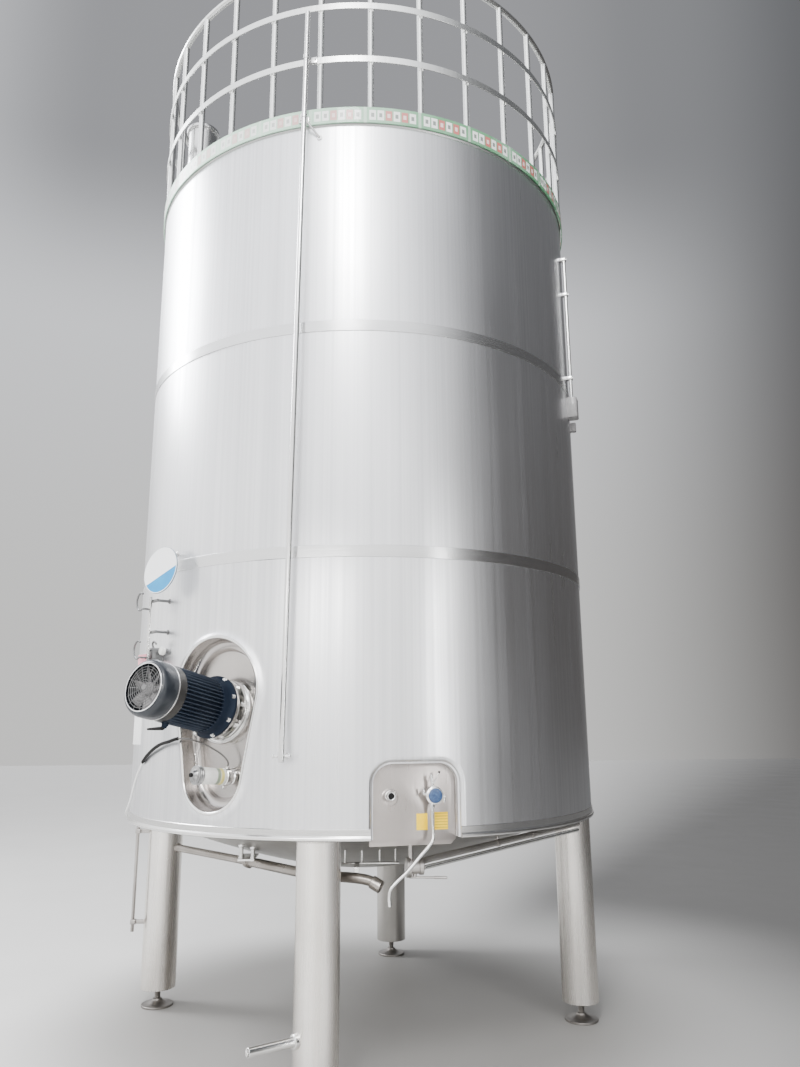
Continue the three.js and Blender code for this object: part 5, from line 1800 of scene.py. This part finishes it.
PANEL_BACK = 1.262
PANEL_SIDES = (-0.190, 0.211)
PANEL_FOOT_LEFT = -0.200
PANEL_FEET = 1.076
PANEL_TOP = 1.440
PANEL_CORNER = 0.090
PANEL_CHAMFER = 0.026
FOLD_START = 0.006
FOLD_DEPTH = 0.016
FOLD_POWER = 2.4
FOLD_STEPS = 8
BEAD_RADIUS = 0.0052
PANEL = at_azimuth(PANEL_AZIMUTH)

corner_z = PANEL_TOP - PANEL_CORNER
plate_outline = [
    (PANEL_FOOT_LEFT, PANEL_FEET),
    (PANEL_SIDES[1] - PANEL_CHAMFER, PANEL_FEET),
    (PANEL_SIDES[1], PANEL_FEET + PANEL_CHAMFER),
]
corner_right, corner_left = PANEL_SIDES[1] - PANEL_CORNER, PANEL_SIDES[0] + PANEL_CORNER
for middle, first_turn in ((corner_right, 0.0), (corner_left, math.pi / 2)):
    for step in range(13):
        turn = first_turn + step * math.pi / 24
        across = middle + PANEL_CORNER * math.cos(turn)
        plate_outline.append((across, corner_z + PANEL_CORNER * math.sin(turn)))
plate_outline += [(PANEL_SIDES[0], RIM_Z - 0.0003), (PANEL_FOOT_LEFT, RIM_Z - 0.0003)]
panel_plate = eased(prism("panel_plate", plate_outline, PANEL_AZIMUTH, PANEL_BACK, PANEL_FRONT), 0.0012)
# Partly painted shade: the plate's steel is darker than the cladding's, for the darker things it
# mirrors in its niche.
panel_dull_and_shaded_steel = steel(
    "panel_dull_and_shaded_steel",
    (0.45, 0.415, 0.395),
    (0.31, 0.28, 0.262),
    0.30,
    (1.0, 1.0, 0.06),
    grain=60.0,
    clouds=6.0,
)
fitted(panel_plate, panel_dull_and_shaded_steel, "satin_steel", "service_panel")

fold_section = [(NICHE_FOLD, None, -0.0030), (FOLD_START, None, -0.0200), (-0.0028, None, -0.0230)]
fold_section += [(-0.0028, PANEL_FRONT + 0.0004, 0.0), (0.0, PANEL_FRONT + 0.0004, 0.0)]
for step in range(FOLD_STEPS + 1):
    t = step / FOLD_STEPS
    grow = FOLD_START + (NICHE_FOLD - FOLD_START) * t
    fold_section.append((grow, None, 0.0004 - FOLD_DEPTH * (1 - t) ** FOLD_POWER))
fold_section = closed(fold_section)
fold_loops = []
for grow, outward, proud in fold_section:
    line = niche_outline(grow, RIM_Z + 0.001)[1:]
    line.append((NICHE_EDGES[0] - grow, RIM_Z + 0.001))
    loop = []
    for across, height in line:
        out = wall_face(across, proud) if outward is None else outward
        loop.append(facing(PANEL_AZIMUTH, across, out, height))
    fold_loops.append(loop)
fold = lofted("niche_fold", fold_loops, round_loops=False)
fitted(fold, cladding, "satin_steel")
bead_outline = niche_outline(0.0005, RIM_Z + 0.004)
bead_line = [
    facing(PANEL_AZIMUTH, across, PANEL_FRONT + BEAD_RADIUS, height)
    for across, height in bead_outline[1:] + bead_outline[:1]
]
fitted(through("niche_bead", bead_line, BEAD_RADIUS, 1), polished, "bright_steel")


def panel_piece(name, profile, x, z, steps=48, deep=0.0003):
    """A turned piece that stands on the panel and points outwards."""
    return put(turned(name, profile, steps), PANEL @ aim((x, -(PANEL_FRONT + deep), z), FORWARDS))


# Port on the panel
# A short threaded socket with a black bore, in a shallow pressed ring of the plate.

PORT_X, PORT_Z = -0.104, 1.297

port = panel_piece(
    "port_socket",
    [
        (0.0, 0.0),
        (0.023, 0.0),
        (0.0225, 0.004),
        (0.019, 0.005),
        (0.019, 0.022),
        (0.0215, 0.023),
        (0.0228, 0.025),
        (0.0228, 0.033),
        (0.0215, 0.038),
        (0.0195, 0.040),
        (0.0165, 0.040),
        (0.0145, 0.0385),
        (0.0140, 0.012),
        (0.0, 0.012),
    ],
    PORT_X,
    PORT_Z,
)
fitted(port, polished, "satin_steel", "panel_port")
bore_outline = [(0.0, 0.0122), (0.0139, 0.0122), (0.0139, 0.036), (0.0125, 0.037), (0.0, 0.0365)]
bore = panel_piece("port_bore", bore_outline, PORT_X, PORT_Z)
fitted(bore, rubber, "black_sheath")
pressed_outline = [(0.0, 0.0), (0.040, 0.0), (0.037, 0.0016), (0.033, 0.0022), (0.030, 0.0014)]
pressed_outline.append((0.0, 0.0006))
pressed_ring = panel_piece("port_ring", pressed_outline, PORT_X, PORT_Z - 0.010)
fitted(pressed_ring, panel_dull_and_shaded_steel, "satin_steel")


# Sample valve on the panel
# A small valve held by a wing-nut clamp, with a blue plastic cap, a stem above it, a spout
# below, and a thin wire with a black ball.

VALVE_X, VALVE_Z = 0.099, 1.296
CLAMP_OUT = 1.312
BALL_RADIUS = 0.0058

valve = panel_piece(
    "valve_body",
    [
        (0.0, 0.0),
        (0.030, 0.0),
        (0.030, 0.003),
        (0.024, 0.006),
        (0.024, 0.033),
        (0.038, 0.034),
        (0.041, 0.037),
        (0.041, 0.048),
        (0.038, 0.051),
        (0.0345, 0.052),
        (0.0345, 0.058),
        (0.0, 0.058),
    ],
    VALVE_X,
    VALVE_Z,
)
wire_bend = [
    (0.092, -1.312, 1.334),
    (0.100, -1.313, 1.360),
    (0.112, -1.315, 1.384),
    (0.120, -1.316, 1.396),
]
clamp_parts = [
    rod("left_lug", (0.064, -CLAMP_OUT, 1.3015), (0.044, -CLAMP_OUT, 1.3040), 0.0075, 16, 0.002),
    rod("right_lug", (0.134, -CLAMP_OUT, 1.2925), (0.153, -CLAMP_OUT, 1.2900), 0.0075, 16, 0.002),
    rod("left_pin", (0.048, -CLAMP_OUT, 1.296), (0.046, -CLAMP_OUT, 1.330), 0.0055, 16, 0.002),
    rod("wing_nut", (0.146, -CLAMP_OUT, 1.298), (0.144, -CLAMP_OUT, 1.262), 0.0062, 16, 0.002),
    rod("stem", (0.090, -CLAMP_OUT, 1.326), (0.084, -CLAMP_OUT, 1.392), 0.0068, 20, 0.0015),
    rod("spout", (0.087, -CLAMP_OUT, 1.270), (0.087, -CLAMP_OUT, 1.2262), 0.0088, 20, 0.001),
    rod("spout_nut", (0.087, -CLAMP_OUT, 1.256), (0.087, -CLAMP_OUT, 1.242), 0.0115, 6, 0.001),
    through("wire", wire_bend, 0.0024),
]
clamp = put(joined("clamp", clamp_parts), PANEL)
fitted(joined("sample_valve_body", [valve, clamp]), polished, "bright_steel", "sample_valve")
cap_outline = [(0.0, 0.050), (0.0335, 0.050), (0.0335, 0.057), (0.0325, 0.0600), (0.0290, 0.0625)]
cap = panel_piece("valve_cap", cap_outline + [(0.0200, 0.0640), (0.0, 0.0645)], VALVE_X, VALVE_Z)
blue_plastic = Finish("blue_plastic", coat=0.4)
scratches = blue_plastic.noise(blue_plastic.place, 150.0, 5.0)
scuffed = (scratches - 0.35) * 2.2
scuffed_blue = blue_plastic.mixed(scuffed, (0.006, 0.030, 0.105), (0.055, 0.125, 0.27))
blue_plastic.surface(scuffed_blue, scratches * 0.25 + 0.28)
blue_plastic.bumped(scratches, 0.0004)
fitted(cap, blue_plastic, "white_plastic")
ball_turns = [step * math.pi / 12 for step in range(13)]
ball_outline = [(BALL_RADIUS * math.sin(turn), -BALL_RADIUS * math.cos(turn)) for turn in ball_turns]
ball = put(turned("wire_ball", ball_outline, 24), PANEL @ Matrix.Translation((0.121, -1.316, 1.399)))
fitted(ball, rubber, "black_sheath")


# Patches on the panel
# Two yellow stickers beside the sample valve, creased and dulled with wear. The left one is plain
# and the right one has faint even lines across it. They lie flat on the panel's sheet.

STRIPES_FROM_X = 0.100
STRIPE_PITCH = 0.0125
PATCH_OUT = (PANEL_FRONT + 0.0002, PANEL_FRONT + 0.0008)

yellow = Finish("yellow_film", specular=0.2)
creases = yellow.noise(yellow.place, 60.0, 5.0)
worn = yellow.noise(yellow.place, 18.0, 4.0)
film_yellow = yellow.mixed((worn - 0.4) * 2.0, (0.88, 0.56, 0.0), (0.92, 0.68, 0.03))
patch_side = yellow.coordinate(yellow.seen_from(PANEL), 0) > STRIPES_FROM_X
rows = {0: yellow.along(2), 1: STRIPE_PITCH / 2}
patch_rows = yellow.node("ShaderNodeMath", {"operation": "PINGPONG"}, rows)
stripes = (patch_rows < STRIPE_PITCH / 5) * patch_side * 0.75
yellow.surface(yellow.mixed(stripes, film_yellow, (0.42, 0.30, 0.03)), creases * 0.25 + 0.32)
yellow.bumped(creases, 0.0008)
for name, left, right, low, high in (
    ("left_patch", 0.0215, 0.0745, 1.141, 1.214),
    ("right_patch", 0.1080, 0.1720, 1.141, 1.218),
):
    patch = wall_block(name, (left, right), PATCH_OUT, (low, high), 0.0003)
    fitted(put(patch, PANEL), yellow, "pale_paint")


# Outlet tube of the sample valve
# A thin polished tube that runs from the spout down over the plate and slants away below it.

OUTLET_RADIUS = 0.008

outlet = through(
    "outlet_bend",
    [
        (0.087, -1.312, 1.2256),
        (0.087, -1.312, 1.180),
        (0.088, -1.316, 1.130),
        (0.085, -1.322, 1.105),
        (0.066, -1.325, 1.078),
        (0.026, -1.325, 1.037),
        (-0.037, -1.325, 0.972),
        (-0.092, -1.325, 0.926),
        (-0.114, -1.325, 0.900),
        (-0.119, -1.325, 0.870),
        (-0.117, -1.325, 0.8315),
    ],
    OUTLET_RADIUS,
    8,
    5,
)
fitted(put(outlet, PANEL), bright_steel, "bright_steel", "outlet_tube")


# Drain pipe
# A pipe below the dished end, its steel stained in patches and painted dark as painted shade for the
# shade it lies in under the rim: a thin run with an open, flared mouth on the left, a screwed union,
# and a thicker curved run whose nose points down to the right.

DRAIN_Z = 0.920
DRAIN_MOUTH = Vector((-1.081, -0.090, DRAIN_Z))
DRAIN_UNION = Vector((-0.599, -0.616, DRAIN_Z))
DRAIN_THIN = 0.020
DRAIN_THICK = 0.024
UNION_RADIUS = 0.032

# Painted shade: the drain's steel is painted dark for the shade under the rim.
drain_steel_painted_shade = steel(
    "drain_steel_painted_shade", (0.36, 0.335, 0.31), (0.17, 0.15, 0.13), 0.30, grain=60.0, clouds=6.0
)
run = DRAIN_UNION - DRAIN_MOUTH
thin_run = put(
    turned(
        "thin_run",
        [
            (0.0, 0.060),
            (0.017, 0.060),
            (0.017, 0.006),
            (0.0215, 0.0),
            (0.0245, 0.0),
            (0.025, 0.0015),
            (0.0235, 0.0045),
            (DRAIN_THIN, 0.009),
            (DRAIN_THIN, run.length),
            (0.0, run.length),
        ],
        40,
    ),
    aim(DRAIN_MOUTH, run),
)
union_body = put(
    turned(
        "union_body",
        [
            (0.0, -0.022),
            (0.026, -0.022),
            (0.028, -0.020),
            (0.028, -0.014),
            (0.030, -0.014),
            (UNION_RADIUS, -0.012),
            (UNION_RADIUS, 0.012),
            (0.030, 0.014),
            (0.028, 0.014),
            (0.028, 0.022),
            (0.026, 0.024),
            (0.0, 0.024),
        ],
        40,
    ),
    aim(DRAIN_UNION, run),
)
union_slots = block("slot", (-0.004, -0.034, -0.013), (0.004, -0.028, 0.013), 0.001)
slots = put(repeated("union_slots", union_slots, around(6, 0.0)), aim(DRAIN_UNION, run))
thick_run = through(
    "thick_run",
    [
        tuple(DRAIN_UNION - run.normalized() * 0.010),
        (-0.510, -0.720, DRAIN_Z),
        (-0.420, -0.828, DRAIN_Z),
        (-0.336, -0.925, DRAIN_Z),
        (-0.250, -1.000, DRAIN_Z - 0.002),
        (-0.150, -1.050, DRAIN_Z - 0.005),
        (-0.039, -1.088, DRAIN_Z - 0.008),
        (0.024, -1.106, DRAIN_Z - 0.016),
        (0.062, -1.120, DRAIN_Z - 0.030),
    ],
    DRAIN_THICK,
    6,
    6,
)
nose_start = Vector((0.040, -1.112, DRAIN_Z - 0.021))
nose_run = Vector((0.084, -1.128, DRAIN_Z - 0.044)) - nose_start
nose = put(
    turned(
        "nose",
        [
            (0.0, 0.0),
            (0.028, 0.0),
            (0.030, 0.002),
            (0.030, nose_run.length - 0.003),
            (0.027, nose_run.length),
            (0.021, nose_run.length),
            (0.020, nose_run.length - 0.012),
            (0.0, nose_run.length - 0.014),
        ],
        40,
    ),
    aim(nose_start, nose_run),
)
drain = joined("drain_line", [thin_run, union_body, slots, thick_run, nose])
fitted(drain, drain_steel_painted_shade, "dark_steel", "drain_pipe")


# Hanger of the drain pipe
# Two tubes welded to the dished end, with a strap between them that grips the union.

HANGER_RADIUS = 0.011


def under_dish(x, y):
    """Height at which a tube below the tank meets the dished end."""
    return min(RIM_Z - 0.0003, dish_z(min(math.hypot(x, y), DISH_RIM)))


hanger_parts = []
for x, y in ((-0.620, -0.760), (-0.559, -0.775)):
    top = under_dish(x, y) + 0.004
    hanger_parts.append(rod("tube", (x, y, DRAIN_Z + 0.030), (x, y, top), HANGER_RADIUS, 24))
    hanger_parts.append(rod("foot", (x, y, DRAIN_Z + 0.026), (x, y, DRAIN_Z + 0.046), 0.0145, 24))
    weld_outline = [(0.0105, -0.012), (0.0165, -0.002), (0.0165, 0.004), (0.0105, 0.004)]
    weld = turned("weld", closed(weld_outline), 24)
    hanger_parts.append(put(weld, Matrix.Translation((x, y, top - 0.006))))
strap = block("strap", (-0.634, -0.790, DRAIN_Z + 0.028), (-0.550, -0.600, DRAIN_Z + 0.038), 0.002)
clear = put(drum("clear", UNION_RADIUS + 0.0003, -0.0143, 0.0143, 48), aim(DRAIN_UNION, run))
hanger_parts.append(carved(strap, clear))
for x, y in ((-0.620, -0.690), (-0.566, -0.640)):
    bolt_place = Matrix.Translation((x, y, DRAIN_Z + 0.038))
    hanger_parts.append(put(hex_bolt("bolt", 0.014, 0.008), bolt_place))
fitted(joined("drain_hanger_strap", hanger_parts), bright_steel, "bright_steel", "drain_hanger")


# Bracket of the drain's nose
# A flat bar on four thin rods from the dished end, which carries the drain pipe near its nose.

BRACKET_Z = 0.958
BRACKET_BOTTOM, BRACKET_TOP = BRACKET_Z - 0.003, BRACKET_Z + 0.003
BRACKET_Y = -0.960
BRACKET_RODS = (-0.088, -0.006, 0.081, 0.158)

bracket_parts = [
    rod("rod", (x, BRACKET_Y, BRACKET_Z), (x, BRACKET_Y, under_dish(x, BRACKET_Y) + 0.004), 0.005, 12)
    for x in BRACKET_RODS
]
bracket_parts += [
    put(hex_bolt("nut", 0.011, 0.007), Matrix.Translation((x, BRACKET_Y, BRACKET_TOP)))
    for x in BRACKET_RODS
]
bracket_parts += [
    block("bar", (-0.105, -0.977, BRACKET_BOTTOM), (0.175, -0.943, BRACKET_TOP), 0.001),
    block("arm", (-0.043, -1.100, BRACKET_BOTTOM), (-0.017, BRACKET_Y, BRACKET_TOP), 0.001),
    block("pad", (-0.043, -1.103, DRAIN_Z + 0.0185), (-0.017, -1.073, BRACKET_Z), 0.002),
]
fitted(joined("nose_bracket", bracket_parts), bright_steel, "bright_steel", "valve_bracket")


# Service pipes
# A dull pipe that runs to the right under the rim from a bolted valve with a lever, hung on thin
# rods, and a thin bright pipe below it. Both have plain closed ends.

DARK_PIPE = 0.015
VALVE_START = Vector((0.200, -1.150, 0.965))
VALVE_END = Vector((0.282, -1.142, 0.965))
DARK_START = Vector((0.321, -1.041, 0.985))
DARK_END = Vector((1.196, -0.451, 1.070))

pipe_parts = [
    rod("run", DARK_START, DARK_END, DARK_PIPE, 32, 0.002),
    through(
        "elbow",
        [
            (0.340, -1.028, 0.987),
            (0.300, -1.056, 0.982),
            (0.262, -1.096, 0.974),
            (0.236, -1.130, 0.970),
        ],
        DARK_PIPE,
        6,
        5,
    ),
]
along = VALVE_END - VALVE_START
body = turned(
    "body",
    [
        (0.0, 0.0),
        (0.043, 0.0),
        (0.045, 0.002),
        (0.045, 0.010),
        (0.0425, 0.011),
        (0.045, 0.012),
        (0.045, 0.020),
        (0.043, 0.022),
        (0.030, 0.024),
        (0.029, 0.060),
        (0.034, 0.063),
        (0.034, along.length - 0.002),
        (0.032, along.length),
        (0.0, along.length),
    ],
    48,
)
pipe_parts.append(put(body, aim(VALVE_START, along)))
clamp_bolt = repeated("clamp_bolt", hex_bolt("bolt", 0.011, 0.006), around(4, 0.037, 0.0, 45.0))
pipe_parts.append(put(clamp_bolt, aim(VALVE_START + along.normalized() * 0.022, along)))
tube_x, tube_y = 0.222, -1.148
tube_top = (tube_x, tube_y, under_dish(tube_x, tube_y))
lever_bend = [
    (0.214, -1.152, 0.922),
    (0.260, -1.153, 0.922),
    (0.330, -1.155, 0.920),
    (0.392, -1.156, 0.919),
]
pipe_parts += [
    rod("bracket_tube", (tube_x, tube_y, 0.980), tube_top, 0.012, 24),
    rod("lever_post", (0.240, -1.150, 0.919), (0.240, -1.150, 0.950), 0.009, 20),
    through("lever", lever_bend, 0.005),
    rod("grip", (0.330, -1.155, 0.920), (0.391, -1.156, 0.919), 0.0062, 16, 0.002),
]
for share in (0.42, 0.66):
    point = DARK_START.lerp(DARK_END, share)
    hanger_top = (point.x, point.y, under_dish(point.x, point.y) + 0.002)
    pipe_parts.append(rod("hanger", point, hanger_top, 0.006, 16))
    ring_clip = ring("clip", 0.0148, 0.0185, -0.009, 0.009, 32)
    pipe_parts.append(put(ring_clip, aim(point, DARK_END - DARK_START)))
fitted(joined("service_line", pipe_parts), dull_steel, "dark_steel", "service_pipe")
bright_run = rod("bright_run", (0.2845, -1.1411, 0.9624), (1.174, -0.534, 1.047), 0.010, 32, 0.002)
fitted(bright_run, bright_steel, "bright_steel", "bright_pipe")


# Conduit and boxes on the right side
# A thin conduit in three clips high on the right of the cladding, which ends in a pale junction
# box, and a small box beside it.

RIGHT_AZIMUTH = 68.0
RIGHT_OUT = 1.378
BOX_BACK = 1.344
CLIP_HEIGHTS = (4.516, 4.270, 3.700)

RIGHT = at_azimuth(RIGHT_AZIMUTH)
right_parts = [rod("tube", (0.0, -RIGHT_OUT, 3.565), (0.0, -RIGHT_OUT, 4.530), 0.010, 24)]
for height in CLIP_HEIGHTS:
    clip_out = (BOX_BACK, RIGHT_OUT + 0.013)
    right_parts.append(wall_block("clip", (-0.016, 0.016), clip_out, about(height, 0.012), 0.004))
    bolt_place = aim((0.0, -(RIGHT_OUT + 0.0125), height), FORWARDS)
    right_parts.append(put(hex_bolt("bolt", 0.009, 0.005), bolt_place))
fitted(put(joined("right_conduit", right_parts), RIGHT), bright_steel, "bright_steel", "wall_conduit")
box = wall_block("box", (-0.038, 0.038), (BOX_BACK, 1.408), (3.434, 3.5647), 0.005)
lid = wall_block("lid", (-0.035, 0.035), (1.406, 1.4115), (3.437, 3.5617), 0.003)
box_screws = [
    put(drum("screw", 0.0035, 0.0, 0.0012, 12, 0.0004), aim((x, -1.4113, z), FORWARDS))
    for x in (-0.029, 0.029)
    for z in (3.443, 3.556)
]
under_gland = rod("gland", (0.0, -1.378, 3.436), (0.0, -1.378, 3.4342), 0.012, 16, 0.0006)
fitted(
    put(joined("junction_case", [box, lid, under_gland, *box_screws]), RIGHT),
    fan_plastic,
    "white_plastic",
    "junction_box",
)
small = wall_block("small", (-0.022, 0.022), (BOX_BACK, 1.384), (3.400, 3.455), 0.004)
small_lid = wall_block("small_lid", (-0.019, 0.019), (1.3835, 1.386), (3.403, 3.452), 0.001)
fitted(
    put(joined("small_case", [small, small_lid]), at_azimuth(RIGHT_AZIMUTH + 6)),
    fan_plastic,
    "white_plastic",
    "small_box",
)
